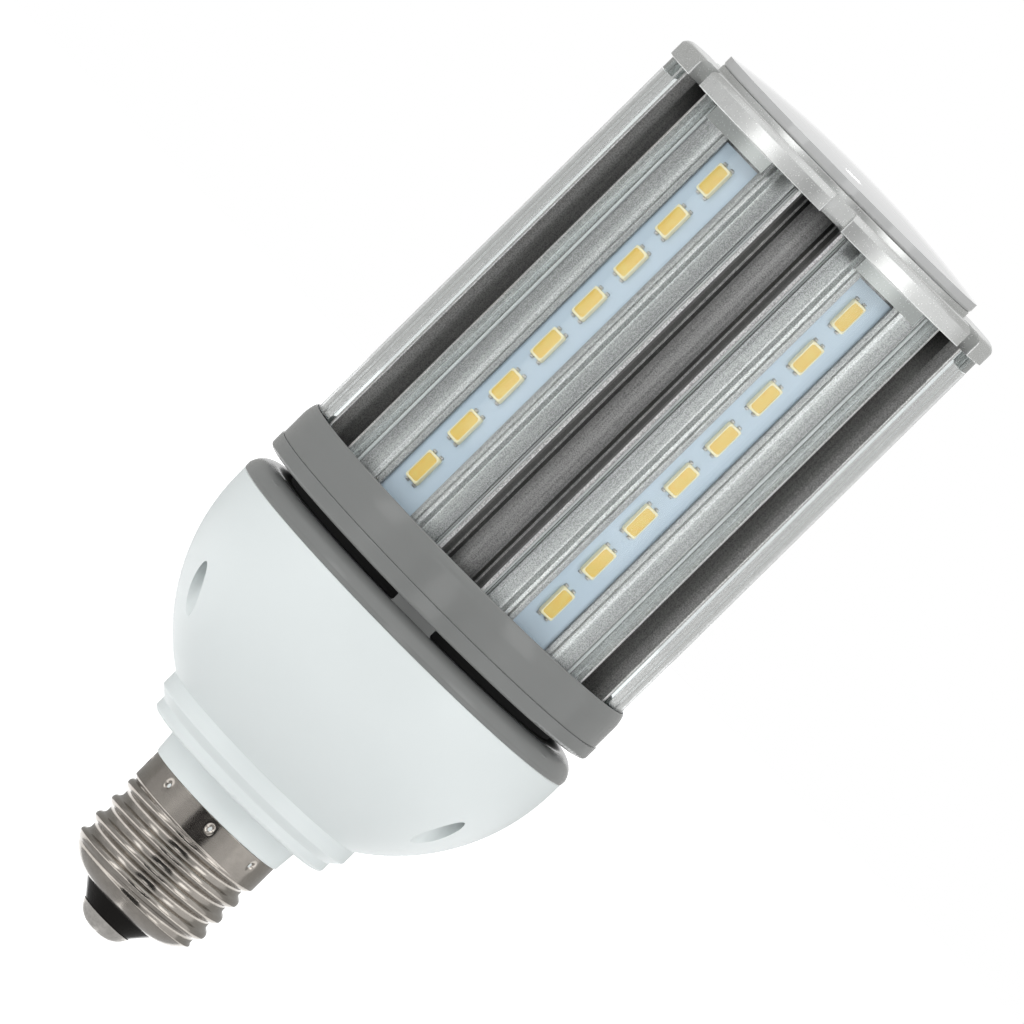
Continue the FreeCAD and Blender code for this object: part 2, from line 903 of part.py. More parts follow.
def sink_half(side):
    """Outline of half a sector, from the pad's middle to the channel's floor."""
    lip_low = board_top + board_lip_fit
    groove_low = rail_top - rail_groove_depth
    return [
        (pad_distance, side * pad_half_width),
        (lip_low, side * pad_half_width),
        (lip_low, side * rail_lip_half_gap),
        (rail_top, side * rail_lip_half_gap, rail_edge_round),
        (rail_top, side * (rail_groove_centre - rail_groove_width / 2.0)),
        (groove_low, side * rail_groove_centre),
        (rail_top, side * (rail_groove_centre + rail_groove_width / 2.0)),
        (rail_top, side * rail_outer, rail_edge_round),
        (shoulder_distance, side * rail_foot, rail_edge_round),
        (*at_level(shoulder_distance, shoulder_edge_half, side), shoulder_edge_round),
        at_level(slot_top, shoulder_edge_half, side),
        (slot_top, side * lens_slot_root),
        (slot_bottom, side * lens_slot_root),
        at_level(slot_bottom, fin_inner_half, side),
        (*channel_point(fin_top, fin_inner_half, side), fin_tip_round),
        (*channel_point(fin_top, fin_outer_half, side), fin_tip_round),
        (*channel_point(channel_step_distance, channel_step_outer_half, side), channel_edge_round),
        (*channel_point(channel_step_distance, channel_step_inner_half, side), channel_edge_round),
        channel_point(channel_floor_corner, channel_floor_half, side),
    ]


def sink_core_half(side):
    """Inner outline of half a sector, following the outside at a wall's distance."""
    return [
        (core_pad_distance, side * core_pad_half),
        (core_corner_distance, side * core_corner_half),
        channel_point(core_channel_distance, core_channel_half, side),
    ]


def around(half_outline, arc_at_channel):
    """Full closed path from a half sector, mirrored and repeated."""
    path = []
    for angle in strip_angles():
        low = [rotated_item(item, angle) for item in reversed(half_outline(-1.0))]
        high = [rotated_item(item, angle) for item in half_outline(1.0)]
        if arc_at_channel:
            middle = polar(channel_floor_distance, angle - math.degrees(half_sector))
            low[0] = (middle, low[0])
        path += low + high
    return path


def heat_sink():
    """Aluminium extrusion with board pads, lens slots, finned channels and screw ports."""
    body = extruded(around(sink_half, True), seat, sink_top)
    core = extruded(around(sink_core_half, False), seat - cut_over, sink_top + cut_over)
    body = body.cut(core)
    ports = []
    bores = []
    for angle in port_angles():
        place = polar(port_distance, angle)
        ports.append(disc(port_radius, seat, sink_top, place))
        bores.append(disc(port_bore, seat - cut_over, sink_top + cut_over, place))
    body = body.multiFuse(ports)
    return body.cut(Part.makeCompound(bores))


def arc_block(radii, middle, half_angle, levels):
    """Upright block between two radii, centred on an angle."""
    inner, outer = radii
    start = middle - half_angle
    end = middle + half_angle
    return extruded([
        (polar(inner, middle), polar(inner, start)),
        polar(outer, start),
        (polar(outer, middle), polar(outer, end)),
        polar(inner, end),
    ], *levels)


def lens_profile():
    """Closed outline of a lens: arc, round corners, sides and feet."""
    foot_low = slot_bottom + lens_foot_fit
    foot_high = slot_top - lens_foot_fit
    foot_end = lens_slot_root + lens_foot_end_fit
    inner_radius = lens_radius - lens_wall
    inner_half = lens_side_half + lens_side_wall
    outside = round_corner(lens_radius, lens_side_half, lens_corner)
    inside = round_corner(inner_radius, inner_half, lens_inner_corner)
    out_side, out_middle, out_arc = [channel_point(*point, 1.0) for point in outside]
    in_side, in_middle, in_arc = [channel_point(*point, 1.0) for point in inside]

    def mirror(point):
        return (point[0], -point[1])

    return [
        (foot_low, foot_end),
        at_level(foot_low, lens_side_half, 1.0),
        out_side,
        (out_middle, out_arc),
        ((lens_radius, 0.0), mirror(out_arc)),
        (mirror(out_middle), mirror(out_side)),
        at_level(foot_low, lens_side_half, -1.0),
        (foot_low, -foot_end),
        (foot_high, -foot_end),
        at_level(foot_high, inner_half, -1.0),
        mirror(in_side),
        (mirror(in_middle), mirror(in_arc)),
        ((inner_radius, 0.0), in_arc),
        (in_middle, in_side),
        at_level(foot_high, inner_half, 1.0),
        (foot_high, foot_end),
    ]


def lens():
    """One lens in strip coordinates, with the window for the cap's tab at its top."""
    body = extruded(lens_profile(), seat + lens_end_fit, sink_top)
    half_angle = cap_tab_half_angle + math.degrees(lens_tab_fit / lens_radius)
    low = sink_top - cap_tab_depth - lens_tab_fit
    radii = (lens_radius - cap_tab_wall, lens_radius + cut_over)
    return body.cut(arc_block(radii, cap_tab_clocking, half_angle, (low, sink_top + cut_over)))


def led_levels():
    top = sink_top - led_top_inset
    return [top - led_pitch * index for index in range(led_count)]


def led_packages():
    """White packages of one strip, each with the pocket for its phosphor."""
    packages = []
    side = (led_offset - led_width / 2.0, led_offset + led_width / 2.0)
    pocket = (led_offset - phosphor_width / 2.0, led_offset + phosphor_width / 2.0)
    for level in led_levels():
        body = box((board_top, led_top), side, (level - led_length / 2.0, level + led_length / 2.0))
        window = box(
            (led_top - phosphor_depth, led_top + cut_over),
            pocket,
            (level - phosphor_length / 2.0, level + phosphor_length / 2.0),
        )
        packages.append(body.cut(window))
    return Part.makeCompound(packages)


def led_phosphors():
    """Yellow phosphor fillings of one strip."""
    pocket = (led_offset - phosphor_width / 2.0, led_offset + phosphor_width / 2.0)
    fillings = []
    for level in led_levels():
        fillings.append(box(
            (led_top - phosphor_depth, led_top),
            pocket,
            (level - phosphor_length / 2.0, level + phosphor_length / 2.0),
        ))
    return Part.makeCompound(fillings)


def led_board():
    half = pad_half_width - board_side_fit
    return box((pad_distance, board_top), (-half, half), (board_low, board_high))


def cap_notch():
    """Cut between two lobes, wider at the rim to leave their edges rounded."""
    half = cap_notch_width / 2.0
    outside = cap_radius + cut_over
    on_wall, middle, on_arc = round_corner(cap_radius, half, cap_notch_round)
    past = (on_arc[0] * outside / cap_radius, on_arc[1] * outside / cap_radius)
    return extruded([
        (cap_notch_radius, -half),
        (on_wall[0], -half),
        ((middle[0], -middle[1]), (on_arc[0], -on_arc[1])),
        (past[0], -past[1]),
        past,
        on_arc,
        (middle, on_wall),
        (cap_notch_radius, half),
    ], sink_top - cut_over, lamp_top)


def end_cap():
    """Lobed cap over the lens ends, with a tab in the window of each lens."""
    rim_bore = cap_boss_radius - cap_rim_wall
    side_top = (cap_radius, cap_side_top)
    plateau_edge = (cap_radius - cap_round_width, cap_plateau)
    cap = turned([
        (cap_core_radius, sink_top),
        (cap_radius, sink_top, cap_edge_round),
        side_top,
        (arc_middle(side_top, plateau_edge, cap_round_bulge_height), plateau_edge),
        (cap_boss_radius, cap_plateau),
        (cap_boss_radius, cap_boss_top, cap_edge_round),
        (rim_bore, cap_boss_top),
        (rim_bore, cap_plateau),
        (0.0, cap_plateau),
        (0.0, sink_top + cap_core_depth),
        (cap_core_radius, sink_top + cap_core_depth),
    ])
    tab_outer = lens_radius - cap_tab_setback
    tab_radii = (tab_outer - cap_tab_wall, tab_outer)
    tab_levels = (sink_top - cap_tab_depth, sink_top + cap_tab_root)
    tabs = []
    notches = []
    half = cap_notch_width / 2.0
    notch = cap_notch()
    below = sink_top - cut_over
    relief_top = sink_top + cap_notch_relief
    for angle in strip_angles():
        tabs.append(arc_block(tab_radii, angle + cap_tab_clocking, cap_tab_half_angle, tab_levels))
        channel = angle + math.degrees(half_sector) + cap_clocking
        relief = box((cap_relief_radius, cap_notch_radius), (-half, half), (below, relief_top))
        notches += [spun(notch, channel), spun(relief, channel)]
    cap = cap.multiFuse(tabs)
    holes = []
    head_hole = port_screw_head_radius + port_screw_head_fit
    head_seat = cap_plateau - port_screw_head_height
    for angle in port_angles():
        place = polar(port_distance, angle)
        holes.append(disc(head_hole, head_seat, lamp_top, place))
        holes.append(disc(port_screw_shank + shank_clearance, sink_top - cut_over, lamp_top, place))
    return cap.cut(Part.makeCompound(notches + holes))


def top_disc():
    """Shallow domed disc that covers the cap's screws."""
    edge = (disc_radius, disc_edge_top)
    crown_radius = (disc_radius**2 + disc_crown**2) / (2.0 * disc_crown)
    quarter = disc_radius / 2.0
    crown_centre = lamp_top - crown_radius
    middle = (quarter, crown_centre + math.sqrt(crown_radius**2 - quarter**2))
    spigot_low = cap_plateau
    spigot_inner = disc_spigot_radius - disc_spigot_wall
    inner_top = lamp_top - disc_wall
    inner_side = (spigot_inner, cap_boss_top)
    inner_rise = inner_top - inner_side[1]
    inner_radius = (spigot_inner**2 + inner_rise**2) / (2.0 * inner_rise)
    inner_quarter = spigot_inner / 2.0
    inner_middle = (
        inner_quarter,
        inner_top - inner_radius + math.sqrt(inner_radius**2 - inner_quarter**2),
    )
    return turned([
        (0.0, inner_top),
        (inner_middle, inner_side),
        (spigot_inner, spigot_low),
        (disc_spigot_radius, spigot_low),
        (disc_spigot_radius, cap_boss_top),
        (disc_radius, cap_boss_top, disc_foot_round),
        edge,
        (middle, (0.0, lamp_top)),
    ])


def port_screws(head_level, direction):
    """Screws into the ports; direction 1 points up into the heat sink."""
    screws = []
    for angle in port_angles():
        place = polar(port_distance, angle)
        tip = head_level + direction * port_screw_length
        back = head_level - direction * port_screw_head_height
        shank = disc(port_screw_shank, min(head_level, tip), max(head_level, tip), place)
        head = disc(port_screw_head_radius, min(head_level, back), max(head_level, back), place)
        screws.append(head.fuse(shank).removeSplitter())
    return Part.makeCompound(screws)


def driver_board():
    """Driver board: a tongue down the sleeve and a wide part in the dome."""
    through = (driver_front, driver_back)
    tongue = box(
        (-driver_tongue_half, driver_tongue_half),
        through,
        (driver_tongue_low, driver_main_low + cut_over),
    )
    main = box((-driver_main_half, driver_main_half), through, (driver_main_low, driver_high))
    return tongue.fuse(main).removeSplitter()


def transformer_centre():
    middle = driver_high - transformer_top_gap - core_length / 2.0
    depth = driver_front - part_fit - bobbin_foot - bobbin_flange - winding_build - core_depth / 2.0
    return (transformer_side, depth, middle)


def centred_box(centre, size):
    ranges = [(middle - span / 2.0, middle + span / 2.0) for middle, span in zip(centre, size)]
    return box(*ranges)


def transformer_core():
    """Ferrite core with two windows beside its middle leg."""
    centre = transformer_centre()
    body = centred_box(centre, (core_width, core_depth, core_length))
    window_width = (core_width - 2.0 * core_yoke - core_leg) / 2.0
    window_height = core_length - 2.0 * core_yoke
    windows = []
    for side in (-1.0, 1.0):
        middle = (centre[0] + side * (core_leg + window_width) / 2.0, centre[1], centre[2])
        windows.append(centred_box(middle, (window_width, core_depth + 2.0 * cut_over, window_height)))
    return body.cut(Part.makeCompound(windows))


def winding_sizes():
    window_width = (core_width - 2.0 * core_yoke - core_leg) / 2.0
    inner = (core_leg + 4.0 * part_fit, core_depth + 4.0 * part_fit)
    spool = (inner[0] + 2.0 * bobbin_flange, inner[1] + 2.0 * bobbin_flange)
    outer_width = core_leg + 2.0 * window_width - 4.0 * part_fit
    outer = (outer_width, core_depth + 2.0 * (bobbin_flange + winding_build) - 2.0 * part_fit)
    return inner, spool, outer


def transformer_bobbin():
    """Bobbin round the core's middle leg, with the foot on the board."""
    centre = transformer_centre()
    inner, spool, outer = winding_sizes()
    height = core_length - 2.0 * core_yoke - 4.0 * part_fit
    tube = centred_box(centre, (spool[0], spool[1], height))
    pieces = []
    for end in (-1.0, 1.0):
        middle = (centre[0], centre[1], centre[2] + end * (height - bobbin_flange) / 2.0)
        pieces.append(centred_box(middle, (outer[0], outer[1], bobbin_flange)))
    foot_back = driver_front - part_fit
    foot_front = centre[1] + outer[1] / 2.0
    across = (centre[0] - outer[0] / 2.0, centre[0] + outer[0] / 2.0)
    along = (centre[2] - height / 2.0, centre[2] + height / 2.0)
    pieces.append(box(across, (foot_front, foot_back), along))
    body = tube.multiFuse(pieces)
    return body.cut(centred_box(centre, (inner[0], inner[1], height + 2.0 * cut_over))).removeSplitter()


def transformer_winding():
    """Winding between the bobbin's flanges."""
    centre = transformer_centre()
    inner, spool, outer = winding_sizes()
    height = core_length - 2.0 * core_yoke - 4.0 * part_fit - 2.0 * bobbin_flange
    trim = 2.0 * part_fit
    body = centred_box(centre, (outer[0] - trim, outer[1] - trim, height - trim))
    body = body.makeFillet(winding_build / 2.0, [edge for edge in body.Edges if is_upright(edge)])
    hole = centred_box(centre, (spool[0] + trim, spool[1] + trim, height + 2.0 * cut_over))
    return body.cut(hole)


def is_upright(edge):
    direction = edge.Vertexes[-1].Point.sub(edge.Vertexes[0].Point)
    return abs(direction.z) > 0.9 * direction.Length


def capacitor(radius, length, place):
    """Electrolytic can that lies along the board, with its rolled groove."""
    groove = length - can_groove_inset
    can = turned([
        (0.0, 0.0),
        (radius, 0.0),
        (radius, groove - can_groove_height / 2.0),
        ((radius - can_groove_depth, groove), (radius, groove + can_groove_height / 2.0)),
        (radius, length),
        (0.0, length),
    ])
    can.translate(Vector(*place))
    return can


def input_capacitor():
    """Large can on the front of the board, beside the transformer."""
    front = driver_front - part_fit - input_cap_radius
    low = driver_high - input_cap_top_gap - input_cap_length
    return capacitor(input_cap_radius, input_cap_length, (input_cap_side, front, low))


def output_capacitor():
    """Small can on the back of the board."""
    back = driver_back + part_fit + output_cap_radius
    low = driver_high - output_cap_top_gap - output_cap_length
    return capacitor(output_cap_radius, output_cap_length, (output_cap_side, back, low))


def film_capacitor():
    width = 2.0 * (sleeve_bore - film_cap_side_gap)
    middle = (0.0, driver_front - part_fit - film_cap_depth / 2.0, driver_tongue_low + film_cap_rise)
    return centred_box(middle, (width, film_cap_depth, film_cap_height))


def fuse_resistor():
    """Round bodied fusible resistor that stands along the tongue."""
    half_round = fuse_end_round * round_middle
    shoulder = fuse_radius - fuse_end_round
    top = fuse_length
    body = turned([
        (0.0, 0.0),
        (shoulder, 0.0),
        ((shoulder + half_round, fuse_end_round - half_round), (fuse_radius, fuse_end_round)),
        (fuse_radius, top - fuse_end_round),
        ((shoulder + half_round, top - fuse_end_round + half_round), (shoulder, top)),
        (0.0, top),
    ])
    body.translate(Vector(fuse_side, driver_front - part_fit - fuse_radius, driver_tongue_low + fuse_rise))
    return body


def bridge_rectifier():
    width, depth, height = bridge_size
    middle = (bridge_side, driver_back + part_fit + depth / 2.0, driver_tongue_low + bridge_rise)
    return centred_box(middle, (width, depth, height))


def controller_chip():
    width, depth, height = chip_size
    middle = (chip_side, driver_back + part_fit + depth / 2.0, driver_main_low + chip_rise)
    return centred_box(middle, (width, depth, height))


def choke():
    """Drum core choke that stands on the back of the board."""
    drum = turned([
        (0.0, 0.0),
        (choke_radius, 0.0),
        (choke_radius, choke_flange),
        (choke_waist, choke_flange),
        (choke_waist, choke_height - choke_flange),
        (choke_radius, choke_height - choke_flange),
        (choke_radius, choke_height),
        (0.0, choke_height),
    ])
    drum.rotate(Vector(0, 0, 0), Vector(1, 0, 0), -90.0)
    side = choke_edge_gap - driver_main_half
    drum.translate(Vector(side, driver_back + part_fit, driver_main_low + choke_rise))
    return drum


def wire_along(points, radius, bend):
    """Round wire along straight runs joined by tangent arcs."""
    corners = [Vector(*point) for point in points]
    edges = []
    start = corners[0]
    for index in range(1, len(corners) - 1):
        before = (corners[index - 1] - corners[index]).normalize()
        after = (corners[index + 1] - corners[index]).normalize()
        half_turn = before.getAngle(after) / 2.0
        trim = bend / math.tan(half_turn)
        arc_start = corners[index] + before * trim
        arc_end = corners[index] + after * trim
        bisector = (before + after).normalize()
        middle = corners[index] + bisector * (bend / math.sin(half_turn) - bend)
        edges.append(Part.makeLine(start, arc_start))
        edges.append(Part.Arc(arc_start, middle, arc_end).toShape())
        start = arc_end
    edges.append(Part.makeLine(start, corners[-1]))
    path = Part.Wire(edges)
    section = Part.Wire(Part.makeCircle(radius, corners[0], corners[1] - corners[0]))
    return path.makePipeShell([section], True, True)


def lead(points):
    return wire_along(points, mains_wire_radius, wire_bend)


def live_wire():
    """From the contact's shank to the front of the driver board."""
    front = driver_front - part_fit - mains_wire_radius
    shank_top = contact_top + contact_shank_height
    return lead([
        (0.0, 0.0, shank_top),
        (0.0, 0.0, shank_top + live_wire_stub),
        (0.0, front, shank_top + live_wire_stub + live_wire_rise),
        (0.0, front, driver_tongue_low + fuse_rise + fuse_length),
    ])


def strip_pad_point(angle, across, level):
    point = rotated_point((board_top + wire_gap + strip_wire_radius, across), angle)
    return (point[0], point[1], level)


def strip_jumpers():
    """Short wires that join each strip to the next, under the collar's floor."""
    angles = strip_angles()
    tray = (dish_floor_top + collar_floor_bottom) / 2.0
    high = seat + strip_wire_rise
    wires = []
    for index in range(sector_count - 1):
        first = angles[index]
        second = angles[index + 1]
        points = [
            strip_pad_point(first, strip_wire_pad, high),
            strip_pad_point(first, strip_wire_pad, tray),
            strip_pad_point(second, -strip_wire_pad, tray),
            strip_pad_point(second, -strip_wire_pad, high),
        ]
        wires.append(wire_along(points, strip_wire_radius, wire_bend))
    return Part.makeCompound(wires)


def feed_wire(angle, across, side):
    """Wire from the top of the driver board to one end of the strip chain."""
    tray = (dish_floor_top + collar_floor_bottom) / 2.0
    front = driver_front - part_fit - strip_wire_radius
    pad_low = strip_pad_point(angle, across, tray)
    via = polar(board_top - feed_wire_inset, angle + math.copysign(feed_wire_swing, across))
    points = [
        (side, front, driver_high - feed_wire_drop),
        (side, front, tray),
        (via[0], via[1], tray),
        pad_low,
        (pad_low[0], pad_low[1], seat + strip_wire_rise),
    ]
    return wire_along(points, strip_wire_radius, wire_bend)


def neutral_wire():
    """From the inside of the shell, round the sleeve's foot, to the board."""
    front = driver_front - part_fit - mains_wire_radius
    sleeve_low = shell_bottom + sleeve_lift
    level = sleeve_low - mains_wire_radius - 2.0 * wire_gap
    turn = sleeve_bore - neutral_wire_turn_gap
    side = sleeve_bore - neutral_wire_rib_gap
    lean_low = level + neutral_wire_climb
    lean_high = lean_low + neutral_wire_lean
    return lead([
        (-sleeve_bore, front, level),
        (-turn, front, level),
        (-turn, front, lean_low),
        (-side, front, lean_high),
        (-side, front, lean_high + neutral_wire_end),
    ])


def export(name, shape):
    shape.exportStep("parts/" + name + ".step")
    solids = len(shape.Solids)
    state = "valid" if shape.isValid() else "NOT VALID"
    print(name, solids, "solid" if solids == 1 else "solids", state, round(shape.Volume, 1))


def main():
    os.makedirs("parts", exist_ok=True)
    export("centre_contact", centre_contact())
    export("base_insulator", base_insulator())
    export("screw_shell", screw_shell())
    export("driver_housing", driver_housing())
    export("housing_screws", housing_screws())
    export("vent_ring", vent_ring())
    export("lamp_collar", lamp_collar())
    export("collar_screws", port_screws(dish_bottom, 1.0))
    export("heat_sink", heat_sink())
    clear_lens = lens()
    for number, angle in enumerate(strip_angles(), start=1):
        export("lens_%d" % number, spun(clear_lens, angle))
        export("led_board_%d" % number, spun(led_board(), angle))
        export("led_packages_%d" % number, spun(led_packages(), angle))
        export("led_phosphors_%d" % number, spun(led_phosphors(), angle))
    export("end_cap", end_cap())
    export("cap_screws", port_screws(cap_plateau - port_screw_head_height, -1.0))
    export("top_disc", top_disc())
    export("driver_board", driver_board())
    export("transformer_core", transformer_core())
    export("transformer_bobbin", transformer_bobbin())
    export("transformer_winding", transformer_winding())
    export("input_capacitor", input_capacitor())
    export("output_capacitor", output_capacitor())
    export("film_capacitor", film_capacitor())
    export("fuse_resistor", fuse_resistor())
    export("bridge_rectifier", bridge_rectifier())
    export("controller_chip", controller_chip())
    export("choke", choke())
    export("live_wire", live_wire())
    export("neutral_wire", neutral_wire())
    export("strip_jumpers", strip_jumpers())
    export("positive_wire", feed_wire(strip_angles()[0], -strip_wire_pad, feed_wire_side))
    export("negative_wire", feed_wire(strip_angles()[-1], strip_wire_pad, -feed_wire_side))


main()
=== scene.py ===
import json
import math

import bmesh
import bpy
from mathutils import Matrix, Vector


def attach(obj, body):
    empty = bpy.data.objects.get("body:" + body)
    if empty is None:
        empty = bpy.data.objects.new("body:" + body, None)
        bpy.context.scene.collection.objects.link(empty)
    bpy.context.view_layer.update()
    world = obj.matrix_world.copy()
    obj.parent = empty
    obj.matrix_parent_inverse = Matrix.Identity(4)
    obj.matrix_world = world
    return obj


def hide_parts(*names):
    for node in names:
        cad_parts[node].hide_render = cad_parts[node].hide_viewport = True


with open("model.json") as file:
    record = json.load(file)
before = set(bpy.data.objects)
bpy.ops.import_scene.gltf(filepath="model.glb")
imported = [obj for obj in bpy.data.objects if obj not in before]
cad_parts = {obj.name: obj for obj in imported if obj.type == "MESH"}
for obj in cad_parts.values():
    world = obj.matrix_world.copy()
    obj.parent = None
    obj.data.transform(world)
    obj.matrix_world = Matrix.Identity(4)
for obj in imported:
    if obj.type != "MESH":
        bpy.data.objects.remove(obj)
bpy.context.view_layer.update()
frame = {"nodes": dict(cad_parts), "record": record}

parts = frame["nodes"]
mm = 0.001
perMetre = 1000.0  # for shaders, which read a place in metres
halfStep = math.radians(30.0)  # half the turn from one LED strip to the next
number = "NodeSocketFloat"
colour = "NodeSocketColor"
print("frame loaded,", len(parts), "nodes")


def newSurface(name):
    surface = bpy.data.materials.new(name)
    surface.use_nodes = True
    surface.node_tree.nodes.clear()
    return surface


def addNode(tree, kind, at, **settings):
    node = tree.nodes.new(kind)
    node.location = at
    for key, value in settings.items():
        setattr(node, key, value)
    return node


def findNode(tree, kind):
    return next(node for node in tree.nodes if node.type == kind)


def fill(node, **values):  # values by socket name, spaces written as underscores
    for key, value in values.items():
        node.inputs[key.replace("_", " ")].default_value = value


def newGroup(name, inputs, outputs):
    group = bpy.data.node_groups.new(name, "ShaderNodeTree")
    for label, kind, value in inputs:
        socket = group.interface.new_socket(label, in_out="INPUT", socket_type=kind)
        socket.default_value = value
    for label, kind in outputs:
        group.interface.new_socket(label, in_out="OUTPUT", socket_type=kind)
    return group


def makeMouldedSkin():  # moulded plastic: slow tone drift, fine grain in gloss and relief
    group = newGroup("moulded skin", [
        ("Colour", colour, (0.8, 0.8, 0.8, 1.0)),
        ("Drift Colour", colour, (0.75, 0.75, 0.75, 1.0)),
        ("Drift Size", number, 0.05),
        ("Grain Size", number, 3.0),
        ("Roughness", number, 0.4),
        ("Roughness Spread", number, 0.08),
    ], [("Colour", colour), ("Roughness", number), ("Height", number)])
    links = group.links
    come = addNode(group, "NodeGroupInput", (-900, 0))
    leave = addNode(group, "NodeGroupOutput", (600, 0))
    place = addNode(group, "ShaderNodeTexCoord", (-900, -300))
    toMillimetres = addNode(group, "ShaderNodeVectorMath", (-700, -300), operation="SCALE")
    fill(toMillimetres, Scale=perMetre)
    drift = addNode(group, "ShaderNodeTexNoise", (-450, 150))
    fill(drift, Detail=3.0, Roughness=0.55)
    driftMix = addNode(group, "ShaderNodeMix", (-150, 150), data_type="RGBA")
    grain = addNode(group, "ShaderNodeTexNoise", (-450, -250))
    fill(grain, Detail=2.0, Roughness=0.5)
    spread = addNode(group, "ShaderNodeMapRange", (-150, -250))
    low = addNode(group, "ShaderNodeMath", (-350, -500), operation="SUBTRACT")
    high = addNode(group, "ShaderNodeMath", (-350, -650), operation="ADD")
    links.new(place.outputs["Object"], toMillimetres.inputs[0])
    links.new(toMillimetres.outputs[0], drift.inputs["Vector"])
    links.new(toMillimetres.outputs[0], grain.inputs["Vector"])
    links.new(come.outputs["Drift Size"], drift.inputs["Scale"])
    links.new(come.outputs["Grain Size"], grain.inputs["Scale"])
    links.new(drift.outputs["Fac"], driftMix.inputs["Factor"])
    links.new(come.outputs["Colour"], driftMix.inputs["A"])
    links.new(come.outputs["Drift Colour"], driftMix.inputs["B"])
    for node in (low, high):
        links.new(come.outputs["Roughness"], node.inputs[0])
        links.new(come.outputs["Roughness Spread"], node.inputs[1])
    links.new(grain.outputs["Fac"], spread.inputs["Value"])
    links.new(low.outputs[0], spread.inputs["To Min"])
    links.new(high.outputs[0], spread.inputs["To Max"])
    links.new(driftMix.outputs["Result"], leave.inputs["Colour"])
    links.new(spread.outputs["Result"], leave.inputs["Roughness"])
    links.new(grain.outputs["Fac"], leave.inputs["Height"])
    return group


def makeMetalGrain():  # blasted or plated metal: fine speckle, and lines drawn along the lamp
    group = newGroup("metal grain", [
        ("Light", colour, (0.8, 0.8, 0.8, 1.0)),
        ("Dark", colour, (0.4, 0.4, 0.4, 1.0)),
        ("Speckle Size", number, 3.0),
        ("Speckle", number, 0.7),
        ("Line Size", number, 2.0),
        ("Lines", number, 0.2),
        ("Roughness", number, 0.4),
        ("Roughness Spread", number, 0.1),
    ], [("Colour", colour), ("Roughness", number), ("Height", number)])
    links = group.links
    come = addNode(group, "NodeGroupInput", (-1100, 0))
    leave = addNode(group, "NodeGroupOutput", (900, 0))
    place = addNode(group, "ShaderNodeTexCoord", (-1100, -300))
    toMillimetres = addNode(group, "ShaderNodeVectorMath", (-900, -300), operation="SCALE")
    fill(toMillimetres, Scale=perMetre)
    stretch = addNode(group, "ShaderNodeVectorMath", (-700, -500), operation="MULTIPLY")
    stretch.inputs[1].default_value = (1.0, 1.0, 0.01)  # lines a hundred times as long as wide
    speckle = addNode(group, "ShaderNodeTexNoise", (-450, 150))
    fill(speckle, Detail=3.0, Roughness=0.75)
    lines = addNode(group, "ShaderNodeTexNoise", (-450, -350))
    fill(lines, Detail=3.0, Roughness=0.6)
    speckleRange = addNode(group, "ShaderNodeMapRange", (-200, 150))
    fill(speckleRange, From_Min=0.36, From_Max=0.64, To_Min=-0.5, To_Max=0.5)
    lineRange = addNode(group, "ShaderNodeMapRange", (-200, -350))
    fill(lineRange, From_Min=0.35, From_Max=0.65, To_Min=-0.5, To_Max=0.5)
    speckleShare = addNode(group, "ShaderNodeMath", (0, 150), operation="MULTIPLY")
    lineShare = addNode(group, "ShaderNodeMath", (0, -350), operation="MULTIPLY")
    together = addNode(group, "ShaderNodeMath", (180, 0), operation="ADD")
    lift = addNode(group, "ShaderNodeMath", (340, 0), operation="ADD", use_clamp=True)
    lift.inputs[1].default_value = 0.5  # both shares swing about the middle of the two tones
    tone = addNode(group, "ShaderNodeMix", (550, 150), data_type="RGBA")
    low = addNode(group, "ShaderNodeMath", (180, -500), operation="ADD")
    high = addNode(group, "ShaderNodeMath", (180, -650), operation="SUBTRACT")
    spread = addNode(group, "ShaderNodeMapRange", (550, -250))
    links.new(place.outputs["Object"], toMillimetres.inputs[0])
    links.new(toMillimetres.outputs[0], speckle.inputs["Vector"])
    links.new(toMillimetres.outputs[0], stretch.inputs[0])
    links.new(stretch.outputs[0], lines.inputs["Vector"])
    links.new(come.outputs["Speckle Size"], speckle.inputs["Scale"])
    links.new(come.outputs["Line Size"], lines.inputs["Scale"])
    links.new(speckle.outputs["Fac"], speckleRange.inputs["Value"])
    links.new(lines.outputs["Fac"], lineRange.inputs["Value"])
    links.new(speckleRange.outputs["Result"], speckleShare.inputs[0])
    links.new(come.outputs["Speckle"], speckleShare.inputs[1])
    links.new(lineRange.outputs["Result"], lineShare.inputs[0])
    links.new(come.outputs["Lines"], lineShare.inputs[1])
    links.new(speckleShare.outputs[0], together.inputs[0])
    links.new(lineShare.outputs[0], together.inputs[1])
    links.new(together.outputs[0], lift.inputs[0])
    links.new(lift.outputs[0], tone.inputs["Factor"])
    links.new(come.outputs["Dark"], tone.inputs["A"])
    links.new(come.outputs["Light"], tone.inputs["B"])
    for node in (low, high):
        links.new(come.outputs["Roughness"], node.inputs[0])
        links.new(come.outputs["Roughness Spread"], node.inputs[1])
    links.new(lift.outputs[0], spread.inputs["Value"])
    links.new(low.outputs[0], spread.inputs["To Min"])
    links.new(high.outputs[0], spread.inputs["To Max"])
    links.new(tone.outputs["Result"], leave.inputs["Colour"])
    links.new(spread.outputs["Result"], leave.inputs["Roughness"])
    links.new(lift.outputs[0], leave.inputs["Height"])
    return group


